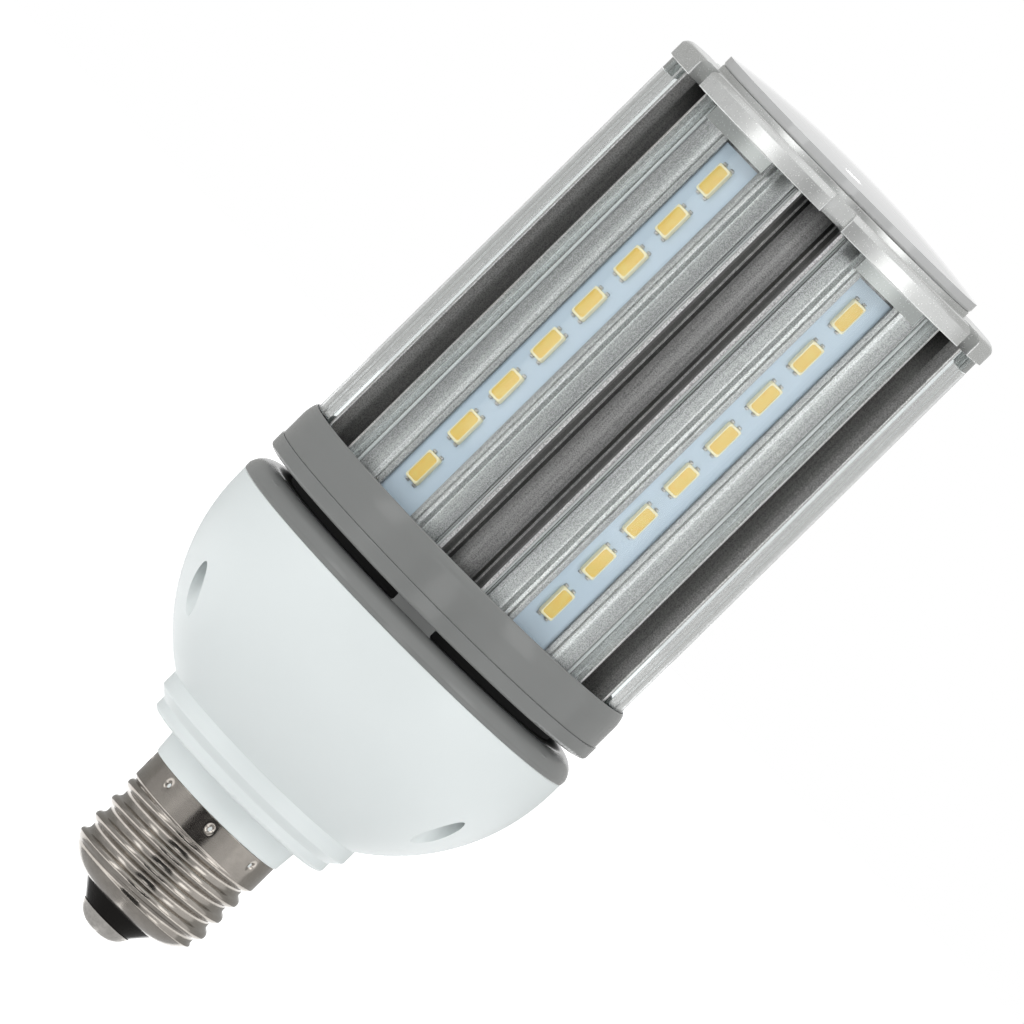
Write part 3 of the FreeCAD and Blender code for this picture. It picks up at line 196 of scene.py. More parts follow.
def makePaintedShadeNearAxis():  # painted shade: a second, darker tone for surfaces that lie nearer the lamp's axis, where the vent gap is in shade
    group = newGroup("painted shade near axis", [
        ("Colour", colour, (0.8, 0.8, 0.8, 1.0)),
        ("Deep Colour", colour, (0.1, 0.1, 0.1, 1.0)),
        ("Deep Radius", number, 20.0),
        ("Full Radius", number, 30.0),
        ("Roughness", number, 0.3),
        ("Deep Roughness", number, 0.8),
    ], [("Colour", colour), ("Roughness", number)])
    links = group.links
    come = addNode(group, "NodeGroupInput", (-900, 0))
    leave = addNode(group, "NodeGroupOutput", (500, 0))
    place = addNode(group, "ShaderNodeTexCoord", (-900, -300))
    flat = addNode(group, "ShaderNodeVectorMath", (-700, -300), operation="MULTIPLY")
    flat.inputs[1].default_value = (perMetre, perMetre, 0.0)
    radius = addNode(group, "ShaderNodeVectorMath", (-500, -300), operation="LENGTH")
    share = addNode(group, "ShaderNodeMapRange", (-250, -200))
    tone = addNode(group, "ShaderNodeMix", (200, 0), data_type="RGBA")
    gloss = addNode(group, "ShaderNodeMix", (200, -250), data_type="FLOAT")
    links.new(place.outputs["Object"], flat.inputs[0])
    links.new(flat.outputs[0], radius.inputs[0])
    links.new(radius.outputs["Value"], share.inputs["Value"])
    links.new(come.outputs["Deep Radius"], share.inputs["From Min"])
    links.new(come.outputs["Full Radius"], share.inputs["From Max"])
    links.new(share.outputs["Result"], tone.inputs["Factor"])
    links.new(share.outputs["Result"], gloss.inputs["Factor"])
    links.new(come.outputs["Deep Roughness"], gloss.inputs["A"])
    links.new(come.outputs["Roughness"], gloss.inputs["B"])
    links.new(come.outputs["Deep Colour"], tone.inputs["A"])
    links.new(come.outputs["Colour"], tone.inputs["B"])
    links.new(gloss.outputs["Result"], leave.inputs["Roughness"])
    links.new(tone.outputs["Result"], leave.inputs["Colour"])
    return group


def makePaintedShadeBelowLevel():  # painted shade: a second, darker tone below a level of the lamp
    group = newGroup("painted shade below level", [
        ("Colour", colour, (0.8, 0.8, 0.8, 1.0)),
        ("Low Colour", colour, (0.4, 0.4, 0.4, 1.0)),
        ("Low Level", number, 0.0),
        ("High Level", number, 1.0),
    ], [("Colour", colour)])
    links = group.links
    come = addNode(group, "NodeGroupInput", (-900, 0))
    leave = addNode(group, "NodeGroupOutput", (500, 0))
    place = addNode(group, "ShaderNodeTexCoord", (-900, -300))
    apart = addNode(group, "ShaderNodeSeparateXYZ", (-700, -300))
    level = addNode(group, "ShaderNodeMath", (-500, -300), operation="MULTIPLY")
    level.inputs[1].default_value = perMetre
    share = addNode(group, "ShaderNodeMapRange", (-250, -200))
    tone = addNode(group, "ShaderNodeMix", (200, 0), data_type="RGBA")
    links.new(place.outputs["Object"], apart.inputs[0])
    links.new(apart.outputs["Z"], level.inputs[0])
    links.new(level.outputs[0], share.inputs["Value"])
    links.new(come.outputs["Low Level"], share.inputs["From Min"])
    links.new(come.outputs["High Level"], share.inputs["From Max"])
    links.new(share.outputs["Result"], tone.inputs["Factor"])
    links.new(come.outputs["Low Colour"], tone.inputs["A"])
    links.new(come.outputs["Colour"], tone.inputs["B"])
    links.new(tone.outputs["Result"], leave.inputs["Colour"])
    return group


# painted light and shade for the sink: dark channel walls, lighter fins and rails, and the cap's
# shadow at the top
channelShade = {
    "stops": (  # millimetres from a channel's middle, and the painted shade there, lightest on the fins and rails
        (0.0, 0.52), (0.8, 0.56), (1.4, 0.52), (1.9, 0.35), (2.9, 0.37), (3.3, 0.42),
        (3.95, 0.50), (4.1, 0.78), (4.44, 0.82), (4.55, 0.86), (5.1, 0.80), (5.7, 0.44),
        (7.0, 0.46), (8.4, 0.60), (8.7, 0.96), (9.5, 1.0), (9.9, 0.80), (10.6, 0.66),
        (11.1, 0.50),
    ),
    "reach": 12.0,  # millimetres that the whole ramp spans
    "capShade": 0.26,  # painted shadow of the cap, in a channel's top, close under the cap
    "capShadeReach": 4.0,
    "openLevel": 0.1552,  # metres up the lamp, where the cap's painted shadow begins
    "shadedLevel": 0.163,
}


def makeChannelPaintedShade():  # painted shade across a sixth of the sink, from a channel's middle to a strip's, with painted light on fins and rails and the cap's painted shadow
    group = newGroup("channel painted shade", [
        ("Colour", colour, (0.8, 0.8, 0.8, 1.0)),
        ("Reach", number, channelShade["reach"]),
        ("Open Level", number, channelShade["openLevel"]),
        ("Shaded Level", number, channelShade["shadedLevel"]),
    ], [("Colour", colour)])
    links = group.links
    come = addNode(group, "NodeGroupInput", (-1300, 200))
    leave = addNode(group, "NodeGroupOutput", (1000, 0))
    place = addNode(group, "ShaderNodeTexCoord", (-1300, -300))
    apart = addNode(group, "ShaderNodeSeparateXYZ", (-1100, -300))
    angle = addNode(group, "ShaderNodeMath", (-900, -200), operation="ARCTAN2")
    fold = addNode(group, "ShaderNodeMath", (-700, -200), operation="PINGPONG")
    fold.inputs[1].default_value = halfStep
    fromChannel = addNode(group, "ShaderNodeMath", (-500, -200), operation="SUBTRACT")
    fromChannel.inputs[0].default_value = halfStep
    sine = addNode(group, "ShaderNodeMath", (-300, -200), operation="SINE")
    flat = addNode(group, "ShaderNodeVectorMath", (-1100, -500), operation="MULTIPLY")
    flat.inputs[1].default_value = (perMetre, perMetre, 0.0)
    radius = addNode(group, "ShaderNodeVectorMath", (-900, -500), operation="LENGTH")
    across = addNode(group, "ShaderNodeMath", (-100, -300), operation="MULTIPLY")
    share = addNode(group, "ShaderNodeMath", (80, -200), operation="DIVIDE")
    ramp = addNode(group, "ShaderNodeValToRGB", (260, -100))
    while len(ramp.color_ramp.elements) < len(channelShade["stops"]):
        ramp.color_ramp.elements.new(0.5)
    for stop, (distance, shade) in zip(ramp.color_ramp.elements, channelShade["stops"]):
        stop.position = distance / channelShade["reach"]
        stop.color = (shade, shade, shade, 1.0)
    tone = addNode(group, "ShaderNodeMix", (600, 100), data_type="RGBA", blend_type="MULTIPLY")
    fill(tone, Factor=1.0)
    height = addNode(group, "ShaderNodeMapRange", (80, -600))
    fill(height, To_Min=1.0, To_Max=channelShade["capShade"])
    inside = addNode(group, "ShaderNodeMath", (260, -400), operation="LESS_THAN")
    inside.inputs[1].default_value = channelShade["capShadeReach"]
    shaded = addNode(group, "ShaderNodeMix", (800, -100), data_type="RGBA", blend_type="MULTIPLY")
    links.new(place.outputs["Object"], apart.inputs[0])
    links.new(apart.outputs["Y"], angle.inputs[0])
    links.new(apart.outputs["X"], angle.inputs[1])
    links.new(angle.outputs[0], fold.inputs[0])
    links.new(fold.outputs[0], fromChannel.inputs[1])
    links.new(fromChannel.outputs[0], sine.inputs[0])
    links.new(place.outputs["Object"], flat.inputs[0])
    links.new(flat.outputs[0], radius.inputs[0])
    links.new(sine.outputs[0], across.inputs[0])
    links.new(radius.outputs["Value"], across.inputs[1])
    links.new(across.outputs[0], share.inputs[0])
    links.new(come.outputs["Reach"], share.inputs[1])
    links.new(share.outputs[0], ramp.inputs["Fac"])
    links.new(come.outputs["Colour"], tone.inputs["A"])
    links.new(ramp.outputs["Color"], tone.inputs["B"])
    links.new(apart.outputs["Z"], height.inputs["Value"])
    links.new(come.outputs["Open Level"], height.inputs["From Min"])
    links.new(come.outputs["Shaded Level"], height.inputs["From Max"])
    links.new(across.outputs[0], inside.inputs[0])
    links.new(inside.outputs[0], shaded.inputs["Factor"])
    links.new(tone.outputs["Result"], shaded.inputs["A"])
    links.new(height.outputs["Result"], shaded.inputs["B"])
    links.new(shaded.outputs["Result"], leave.inputs["Colour"])
    return group


mouldedSkin = makeMouldedSkin()
metalGrain = makeMetalGrain()
paintedShadeNearAxis = makePaintedShadeNearAxis()
channelPaintedShade = makeChannelPaintedShade()
paintedShadeBelowLevel = makePaintedShadeBelowLevel()
print("node groups made")


def shadedBy(name, group, groupValues, relief, shaderValues):
    surface = newSurface(name)
    tree = surface.node_tree
    effect = addNode(tree, "ShaderNodeGroup", (-500, 0), node_tree=group)
    for key, value in groupValues.items():
        effect.inputs[key].default_value = value
    shader = addNode(tree, "ShaderNodeBsdfPrincipled", (0, 0))
    fill(shader, **shaderValues)
    bump = addNode(tree, "ShaderNodeBump", (-250, -300))
    fill(bump, Strength=relief[0], Distance=relief[1] * mm)
    leave = addNode(tree, "ShaderNodeOutputMaterial", (350, 0))
    tree.links.new(effect.outputs["Colour"], shader.inputs["Base Color"])
    tree.links.new(effect.outputs["Roughness"], shader.inputs["Roughness"])
    tree.links.new(effect.outputs["Height"], bump.inputs["Height"])
    tree.links.new(bump.outputs["Normal"], shader.inputs["Normal"])
    tree.links.new(shader.outputs["BSDF"], leave.inputs["Surface"])
    return surface


def plastic(name, tone, drift, driftSize=0.05, grainSize=3.0, roughness=0.4, spread=0.06,
            relief=(0.15, 0.02), **shaderValues):
    values = {
        "Colour": (*tone, 1.0),
        "Drift Colour": (*drift, 1.0),
        "Drift Size": driftSize,
        "Grain Size": grainSize,
        "Roughness": roughness,
        "Roughness Spread": spread,
    }
    return shadedBy(name, mouldedSkin, values, relief, shaderValues)


def metal(name, light, dark, speckleSize=3.0, speckle=0.5, lineSize=2.0, lines=0.2,
          roughness=0.35, spread=0.08, relief=(0.2, 0.02)):
    values = {
        "Light": (*light, 1.0),
        "Dark": (*dark, 1.0),
        "Speckle Size": speckleSize,
        "Speckle": speckle,
        "Line Size": lineSize,
        "Lines": lines,
        "Roughness": roughness,
        "Roughness Spread": spread,
    }
    return shadedBy(name, metalGrain, values, relief, {"Metallic": 1.0})


def overlaid(surface, group, **values):  # a second group between the first and the shader
    tree = surface.node_tree
    effect = findNode(tree, "GROUP")
    shader = findNode(tree, "BSDF_PRINCIPLED")
    second = addNode(tree, "ShaderNodeGroup", (-250, 150), node_tree=group)
    fill(second, **values)
    for output, socket in (("Colour", "Base Color"), ("Roughness", "Roughness")):
        if output in second.outputs:
            tree.links.new(effect.outputs[output], second.inputs[output])
            tree.links.new(second.outputs[output], shader.inputs[socket])
    return surface


clearLens = {
    "tone": (0.94, 0.96, 0.96),
    "drift": (0.91, 0.935, 0.935),
    "roughness": 0.03,
    "spread": 0.02,
    "relief": (0.01, 0.005),
    "refraction": 1.07,  # low, as a thin wall hardly bends the view
    "coat": 0.5,
    "coatRefraction": 1.45,
    "coatRoughness": 0.04,
    "passing": (0.95, 0.96, 0.96, 1.0),
}


def clearPlastic(name):  # shadow and diffuse rays pass, so the boards behind are lit
    surface = plastic(name, clearLens["tone"], clearLens["drift"],
                      roughness=clearLens["roughness"], spread=clearLens["spread"],
                      relief=clearLens["relief"], IOR=clearLens["refraction"],
                      Transmission_Weight=1.0, Coat_Weight=clearLens["coat"],
                      Coat_IOR=clearLens["coatRefraction"],
                      Coat_Roughness=clearLens["coatRoughness"])
    tree = surface.node_tree
    shader = findNode(tree, "BSDF_PRINCIPLED")
    leave = findNode(tree, "OUTPUT_MATERIAL")
    rays = addNode(tree, "ShaderNodeLightPath", (-250, 350))
    either = addNode(tree, "ShaderNodeMath", (0, 350), operation="MAXIMUM")
    passing = addNode(tree, "ShaderNodeBsdfTransparent", (0, 180))
    fill(passing, Color=clearLens["passing"])
    mix = addNode(tree, "ShaderNodeMixShader", (350, 150))
    leave.location = (600, 0)
    tree.links.new(rays.outputs["Is Shadow Ray"], either.inputs[0])
    tree.links.new(rays.outputs["Is Diffuse Ray"], either.inputs[1])
    tree.links.new(either.outputs[0], mix.inputs["Fac"])
    tree.links.new(shader.outputs["BSDF"], mix.inputs[1])
    tree.links.new(passing.outputs["BSDF"], mix.inputs[2])
    tree.links.new(mix.outputs["Shader"], leave.inputs["Surface"])
    return surface


finishes = {  # one for each slot of the record
    "contact_metal": metal(
        "soldered contact", (0.62, 0.595, 0.565), (0.44, 0.425, 0.40), speckleSize=0.7,
        speckle=0.8, lineSize=1.0, lines=0.0, roughness=0.36, spread=0.1, relief=(0.3, 0.1)),
    "insulator_black": plastic(
        "black insulator", (0.006, 0.0055, 0.005), (0.01, 0.009, 0.008), driftSize=0.3,
        grainSize=2.0, roughness=0.16, spread=0.05, Specular_IOR_Level=0.07),
    "shell_nickel": metal(
        "nickel plate", (0.40, 0.372, 0.338), (0.31, 0.287, 0.26), speckleSize=0.25,
        speckle=0.7, lineSize=1.0, lines=0.0, roughness=0.17, spread=0.03,
        relief=(0.03, 0.02)),
    "housing_white": plastic(
        "white housing", (0.705, 0.75, 0.75), (0.685, 0.73, 0.73), driftSize=0.06,
        grainSize=2.5, roughness=0.42, relief=(0.08, 0.02)),
    "screw_steel": metal(
        "zinc screw", (0.66, 0.66, 0.65), (0.45, 0.45, 0.44), speckleSize=2.0, speckle=0.4),
    "ring_grey": overlaid(
        plastic("grey ring", (0.202, 0.208, 0.204), (0.187, 0.193, 0.189), driftSize=0.08,
                grainSize=2.5, roughness=0.16, spread=0.03, relief=(0.04, 0.02),
                Specular_IOR_Level=0.28),
        # painted shade: the neck and the flange near the vent gap darken towards the axis
        paintedShadeNearAxis, Deep_Colour=(0.02, 0.02, 0.02, 1.0), Deep_Radius=29.6, Full_Radius=31.8,
        Deep_Roughness=0.85),
    "sink_aluminium": overlaid(
        metal("blasted aluminium", (0.98, 0.98, 0.965), (0.42, 0.42, 0.42), speckleSize=4.6,
              speckle=1.0, lineSize=1.6, lines=0.35, roughness=0.38, spread=0.06,
              relief=(0.12, 0.02)),
        # painted shade in the channels and under the cap, lighter bands on the fins and rails
        channelPaintedShade),
    "cap_plastic": overlaid(
        plastic("cap plastic", (0.67, 0.68, 0.67), (0.56, 0.57, 0.56), driftSize=0.6,
                grainSize=4.0, roughness=0.26, spread=0.04, relief=(0.04, 0.02),
                Metallic=0.7),
        # painted shade: the cap's tabs below the sink's top, darkened as in the cap's shade
        paintedShadeBelowLevel, Low_Colour=(0.33, 0.35, 0.34, 1.0), Low_Level=162.9, High_Level=163.2),
    "disc_plastic": plastic(
        "disc plastic", (0.52, 0.525, 0.525), (0.48, 0.485, 0.485), driftSize=0.08,
        grainSize=2.0, roughness=0.05, spread=0.015, relief=(0.02, 0.02)),
    "lens_clear": clearPlastic("clear lens"),
    "board_pale_blue": plastic(
        "pale blue board", (0.50, 0.60, 0.70), (0.47, 0.575, 0.675), driftSize=0.12,
        grainSize=1.5, roughness=0.33, spread=0.07, relief=(0.1, 0.02)),
    "package_white": plastic(
        "package case", (0.90, 0.83, 0.58), (0.86, 0.76, 0.46), driftSize=0.6),
    "phosphor_yellow": plastic(
        "phosphor", (0.80, 0.45, 0.04), (0.78, 0.62, 0.15), driftSize=0.9, grainSize=2.0,
        roughness=0.35),
    "driver_laminate": plastic(
        "driver laminate", (0.42, 0.33, 0.16), (0.36, 0.28, 0.13), driftSize=0.3),
    "ferrite": plastic(
        "ferrite", (0.06, 0.06, 0.065), (0.09, 0.09, 0.095), driftSize=0.8, grainSize=4.0,
        roughness=0.5),
    "bobbin_black": plastic(
        "bobbin", (0.03, 0.03, 0.03), (0.05, 0.05, 0.05), driftSize=0.5),
    "winding_tape": plastic(
        "winding tape", (0.80, 0.60, 0.08), (0.70, 0.50, 0.06), driftSize=0.4),
    "can_sleeve": plastic(
        "can sleeve", (0.03, 0.04, 0.09), (0.05, 0.06, 0.12), driftSize=0.4, roughness=0.25),
    "film_case": plastic(
        "film case", (0.75, 0.50, 0.07), (0.66, 0.43, 0.05), driftSize=0.4, roughness=0.3),
    "resistor_body": plastic(
        "resistor coat", (0.12, 0.30, 0.20), (0.10, 0.24, 0.16), driftSize=0.6),
    "chip_black": plastic(
        "chip case", (0.025, 0.025, 0.025), (0.045, 0.045, 0.045), driftSize=1.0,
        grainSize=5.0, roughness=0.6),
    "wire_brown": plastic(
        "brown wire", (0.18, 0.08, 0.03), (0.14, 0.06, 0.025), driftSize=0.5),
    "wire_blue": plastic(
        "blue wire", (0.04, 0.10, 0.42), (0.03, 0.08, 0.34), driftSize=0.5),
    "wire_white": plastic(
        "white wire", (0.80, 0.80, 0.78), (0.72, 0.72, 0.70), driftSize=0.5),
    "wire_red": plastic(
        "red wire", (0.55, 0.03, 0.03), (0.45, 0.02, 0.02), driftSize=0.5),
    "wire_black": plastic(
        "black wire", (0.03, 0.03, 0.03), (0.05, 0.05, 0.05), driftSize=0.5),
}
footFinish = plastic(
    "frosted lens foot", (0.74, 0.75, 0.745), (0.62, 0.63, 0.625), driftSize=0.9,
    grainSize=4.0)
slotOf = {entry["node"]: entry["material_slot"] for entry in frame["record"]["subparts"]}
for node, part in parts.items():
    part.data.materials.clear()
    part.data.materials.append(finishes[slotOf[node]])
print("finishes on every node")


def keepMesh(name, points, faces, slot, replaced, smoothAngle):  # points in millimetres
    mesh = bpy.data.meshes.new(name)
    mesh.from_pydata([Vector(point) * mm for point in points], [], faces)
    mesh.validate()
    work = bmesh.new()
    work.from_mesh(mesh)
    bmesh.ops.recalc_face_normals(work, faces=work.faces)
    work.to_mesh(mesh)
    work.free()
    mesh.shade_smooth()
    mesh.set_sharp_from_angle(angle=math.radians(smoothAngle))
    piece = bpy.data.objects.new(name, mesh)
    bpy.context.scene.collection.objects.link(piece)
    mesh.materials.append(finishes[slot])
    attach(piece, "root")
    if replaced:
        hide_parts(replaced)
    return piece


shell = {  # screw shell, rolled from sheet, with the punches that hold it on the neck
    "columns": 288,
    "step": 0.15,
    "bottom": 5.6,
    "top": 27.3,
    "wall": 0.3,
    "crest": 13.15,
    "depth": 1.05,
    "pitch": 3.629,
    "halfWidth": 1.7,
    "firstCrest": 8.84,
    "startAzimuth": 180.0,
    "bandBottom": 22.3,
    "bandSlope": 1.0,
    "bandBlend": 0.18,
    "holeRadius": 7.35,
    "bowlTop": 10.0,
    "bowlBulge": 0.9,
    "bowlBlend": 0.2,
    "lip": 0.12,
    "lipShare": 0.3,
    "insideStride": 3,
    "punchAzimuth": 6.5,
    "punchCount": 8,
    "punchHeight": 25.5,
    "punchDepth": 0.6,
    "punchWide": 0.42,
    "punchTall": 0.62,
    "smoothAngle": 60.0,
}


def softMin(first, second, blend):
    share = max(0.0, min(1.0, 0.5 + 0.5 * (second - first) / blend))
    return second + (first - second) * share - blend * share * (1.0 - share)


def threadRadius(height, azimuth):  # round crest and round root, joined by equal arcs
    bend = (shell["halfWidth"]**2 + shell["depth"]**2) / (4.0 * shell["depth"])
    root = shell["crest"] - shell["depth"]
    lead = shell["firstCrest"] + shell["pitch"] * (azimuth - shell["startAzimuth"]) / 360.0
    offset = (height - lead) / shell["pitch"]
    away = abs(offset - round(offset)) * shell["pitch"]
    half = shell["halfWidth"]
    if away < half / 2.0:
        return shell["crest"] - bend + math.sqrt(bend**2 - away**2)
    if away < half:
        return root + bend - math.sqrt(bend**2 - (half - away)**2)
    return root


def bowlRadius(height):  # arc from the contact hole up to the full radius
    x0, z0, x1, z1 = shell["holeRadius"], shell["bottom"], shell["crest"], shell["bowlTop"]
    chord = math.hypot(x1 - x0, z1 - z0)
    bulge = shell["bowlBulge"]
    radius = (chord**2 / 4.0 + bulge**2) / (2.0 * bulge)
    back = radius - bulge
    centreX = (x0 + x1) / 2.0 - back * (z1 - z0) / chord
    centreZ = (z0 + z1) / 2.0 + back * (x1 - x0) / chord
    drop = radius**2 - (height - centreZ)**2
    return centreX + math.sqrt(max(drop, 0.0))


def shellRadius(height, azimuth):
    thread = threadRadius(height, azimuth)
    slope = (height - shell["bandBottom"]) / shell["bandSlope"]
    rise = max(0.0, min(1.0, 1.0 + slope))
    band = shell["crest"] - shell["depth"] + shell["depth"] * rise
    outer = -softMin(-thread, -band, shell["bandBlend"])
    outer = min(outer, shell["crest"])
    if height < shell["bowlTop"]:
        outer = softMin(outer, bowlRadius(height), shell["bowlBlend"])
    spacing = 360.0 / shell["punchCount"]
    turn = (azimuth - shell["punchAzimuth"] + spacing / 2.0) % spacing - spacing / 2.0
    across = math.radians(turn) * shell["crest"] / shell["punchWide"]
    along = (height - shell["punchHeight"]) / shell["punchTall"]
    return outer - shell["punchDepth"] * math.exp(-across**2 - along**2)


def ringFaces(rows, columns):  # rows of points round the lamp, the last joined to the first
    faces = []
    for row in range(rows):
        above = (row + 1) % rows
        for column in range(columns):
            following = (column + 1) % columns
            faces.append((
                row * columns + column,
                row * columns + following,
                above * columns + following,
                above * columns + column,
            ))
    return faces


def makeScrewShell():
    bottom, top = shell["bottom"], shell["top"]
    wall, lip = shell["wall"], shell["lip"]
    count = round((top - bottom) / shell["step"])
    heights = [bottom + (top - bottom) * index / count for index in range(count + 1)]
    bend = lip * shell["lipShare"]
    stride = shell["insideStride"]
    rows = [(height, 0.0) for height in heights[:-1]]  # a height, and how far inside the face
    rows += [(top - lip, 0.0), (top - bend, bend), (top, lip), (top, wall)]
    rows += [(height, wall) for height in heights[-stride:stride:-stride]]
    rows += [(bottom + wall, wall)]
    points = []
    columns = shell["columns"]
    for height, inset in rows:
        for column in range(columns):
            azimuth = 360.0 * column / columns
            radius = shellRadius(min(height, top - lip), azimuth) - inset
            if height <= bottom + wall:
                radius = max(radius, shell["holeRadius"])
            angle = math.radians(azimuth - 90.0)  # azimuth 0 faces the camera's side
            points.append((radius * math.cos(angle), radius * math.sin(angle), height))
    keepMesh("screwShell", points, ringFaces(len(rows), columns), "shell_nickel",
             "screw_shell", shell["smoothAngle"])


makeScrewShell()
print("screw shell made")


ledStrip = {  # moulded cases with sunk phosphor, and the solder at their ends
    "angles": (-60.0, 0.0, 60.0, 120.0, 180.0, 240.0),
    "boardTop": 29.3,
    "caseTop": 30.2,
    "across": -0.55,
    "firstLevel": 154.53,
    "pitch": 9.14,
    "count": 8,
    "cornerPoints": 5,
    "caseHalf": (1.36, 2.8),
    "caseCorner": 0.35,
    "caseEdge": 0.14,
    "caseEdgeShares": (0.0, 0.3, 0.65, 1.0),
    "windowHalf": (1.13, 2.4),
    "windowCorner": 0.45,
    "windowRings": ((0.06, 0.0), (0.02, 0.02), (0.0, 0.08), (-0.03, 0.25)),  # wider, deeper
    "phosphorSink": 0.10,
    "phosphorFoot": 0.1,
    "phosphorCrown": 0.05,
    "phosphorCorner": 0.12,
    "phosphorInsets": (0.0, 0.12, 0.35, 0.7),
    "solderHalf": (0.42, 0.30),
    "solderCorner": 0.2,
    "solderStraight": 0.01,
    "solderAcross": 0.85,
    "solderOut": 3.02,
    "solderTall": 0.42,
    "solderRings": ((0.0, 0.0), (0.02, 0.35), (0.08, 0.7), (0.17, 0.93), (0.24, 1.0)),
    "smoothAngle": 50.0,
}


def roundedRing(half, corner, height, centre):  # points of a rounded rectangle
    ring = []
    steps = ledStrip["cornerPoints"] - 1
    for signs, start in (((1, 1), 0.0), ((-1, 1), 90.0), ((-1, -1), 180.0), ((1, -1), 270.0)):
        middleX = centre[0] + signs[0] * (half[0] - corner)
        middleY = centre[1] + signs[1] * (half[1] - corner)
        for index in range(steps + 1):
            turn = math.radians(start + 90.0 * index / steps)
            ring.append((height, middleX + corner * math.cos(turn),
                         middleY + corner * math.sin(turn)))
    return ring


def stackRings(rings):  # rings from foot to middle, with a face over the first and the last
    points = []
    faces = []
    count = len(rings[0])
    for index, ring in enumerate(rings):
        points += ring
        if index:
            low = (index - 1) * count
            high = index * count
            for step in range(count):
                after = (step + 1) % count
                faces.append((low + step, low + after, high + after, high + step))
    faces.append(tuple(range((len(rings) - 1) * count, len(rings) * count)))
    faces.append(tuple(reversed(range(count))))
    return points, faces


def caseRings(level):
    half, corner, edge = ledStrip["caseHalf"], ledStrip["caseCorner"], ledStrip["caseEdge"]
    window, top = ledStrip["windowHalf"], ledStrip["caseTop"]
    centre = (ledStrip["across"], level)
    rings = [roundedRing(half, corner, ledStrip["boardTop"], centre)]
    for share in ledStrip["caseEdgeShares"]:
        bend = math.radians(90.0 * share)
        inset = edge * (1.0 - math.cos(bend))
        height = top - edge * (1.0 - math.sin(bend))
        size = (half[0] - inset, half[1] - inset)
        rings.append(roundedRing(size, corner - inset, height, centre))
    for grow, sink in ledStrip["windowRings"]:
        size = (window[0] + grow, window[1] + grow)
        rings.append(roundedRing(size, ledStrip["windowCorner"] + grow, top - sink, centre))
    return rings


def phosphorRings(level):
    window = ledStrip["windowHalf"]
    insets = ledStrip["phosphorInsets"]
    centre = (ledStrip["across"], level)
    rim = ledStrip["caseTop"] - ledStrip["phosphorSink"]
    foot = rim - ledStrip["phosphorFoot"]
    rings = [roundedRing(window, ledStrip["windowCorner"], foot, centre)]
    for inset in insets:
        size = (window[0] - inset, window[1] - inset)
        corner = max(ledStrip["windowCorner"] - inset, ledStrip["phosphorCorner"])
        lift = ledStrip["phosphorCrown"] * math.sin(inset / insets[-1] * math.pi / 2.0)
        rings.append(roundedRing(size, corner, rim + lift, centre))
    return rings


def solderRings(level):
    half = ledStrip["solderHalf"]
    stacks = []
    for side in (-1.0, 1.0):
        for end in (-1.0, 1.0):
            centre = (ledStrip["across"] + side * ledStrip["solderAcross"],
                      level + end * ledStrip["solderOut"])
            rings = []
            for inset, share in ledStrip["solderRings"]:
                size = (half[0] - inset, half[1] - inset)
                corner = min(ledStrip["solderCorner"], size[1] - ledStrip["solderStraight"])
                height = ledStrip["boardTop"] + ledStrip["solderTall"] * share
                rings.append(roundedRing(size, corner, height, centre))
            stacks.append(rings)
    return stacks


def makeOnStrip(name, stacks, angle, slot, replaced):
    points = []
    faces = []
    turn = math.radians(angle)
    for rings in stacks:
        ownPoints, ownFaces = stackRings(rings)
        faces += [tuple(len(points) + corner for corner in face) for face in ownFaces]
        for out, across, up in ownPoints:
            points.append((out * math.cos(turn) - across * math.sin(turn),
                           out * math.sin(turn) + across * math.cos(turn), up))
    keepMesh(name, points, faces, slot, replaced, ledStrip["smoothAngle"])


lensFoot = {  # frosted line inside each lens's side walls, just over the sink's shoulders
    "inner": 5.16,
    "wide": 0.48,
    "low": 28.55,
    "tall": 0.4,
    "bottom": 80.4,
    "top": 162.9,
    "edge": 0.08,
    "smoothAngle": 30.0,
}


def makeLensFeet():
    points = []
    faces = []
    wide, tall, edge = lensFoot["wide"], lensFoot["tall"], lensFoot["edge"]
    outline = [(0.0, 0.0), (wide, 0.0), (wide, tall - edge), (wide - edge, tall),
               (edge, tall), (0.0, tall - edge)]
    count = len(outline)
    for strip in ledStrip["angles"]:
        for side in (-1.0, 1.0):
            channel = math.radians(strip) + side * halfStep
            first = len(points)
            for level in (lensFoot["bottom"], lensFoot["top"]):
                for across, out in outline:
                    sideways = -side * (lensFoot["inner"] + across)
                    lift = lensFoot["low"] + out  # distance along the strip's own normal
                    depth = (lift - abs(sideways) * math.sin(halfStep)) / math.cos(halfStep)
                    points.append((
                        depth * math.cos(channel) - sideways * math.sin(channel),
                        depth * math.sin(channel) + sideways * math.cos(channel),
                        level,
                    ))
            for step in range(count):
                after = (step + 1) % count
                faces.append((first + step, first + after, first + count + after,
                              first + count + step))
            faces.append(tuple(first + step for step in range(count)))
            faces.append(tuple(first + count + step for step in reversed(range(count))))
    feet = keepMesh("lensFeet", points, faces, "lens_clear", None, lensFoot["smoothAngle"])
    feet.data.materials.clear()
    feet.data.materials.append(footFinish)


makeLensFeet()
print("lens feet made")

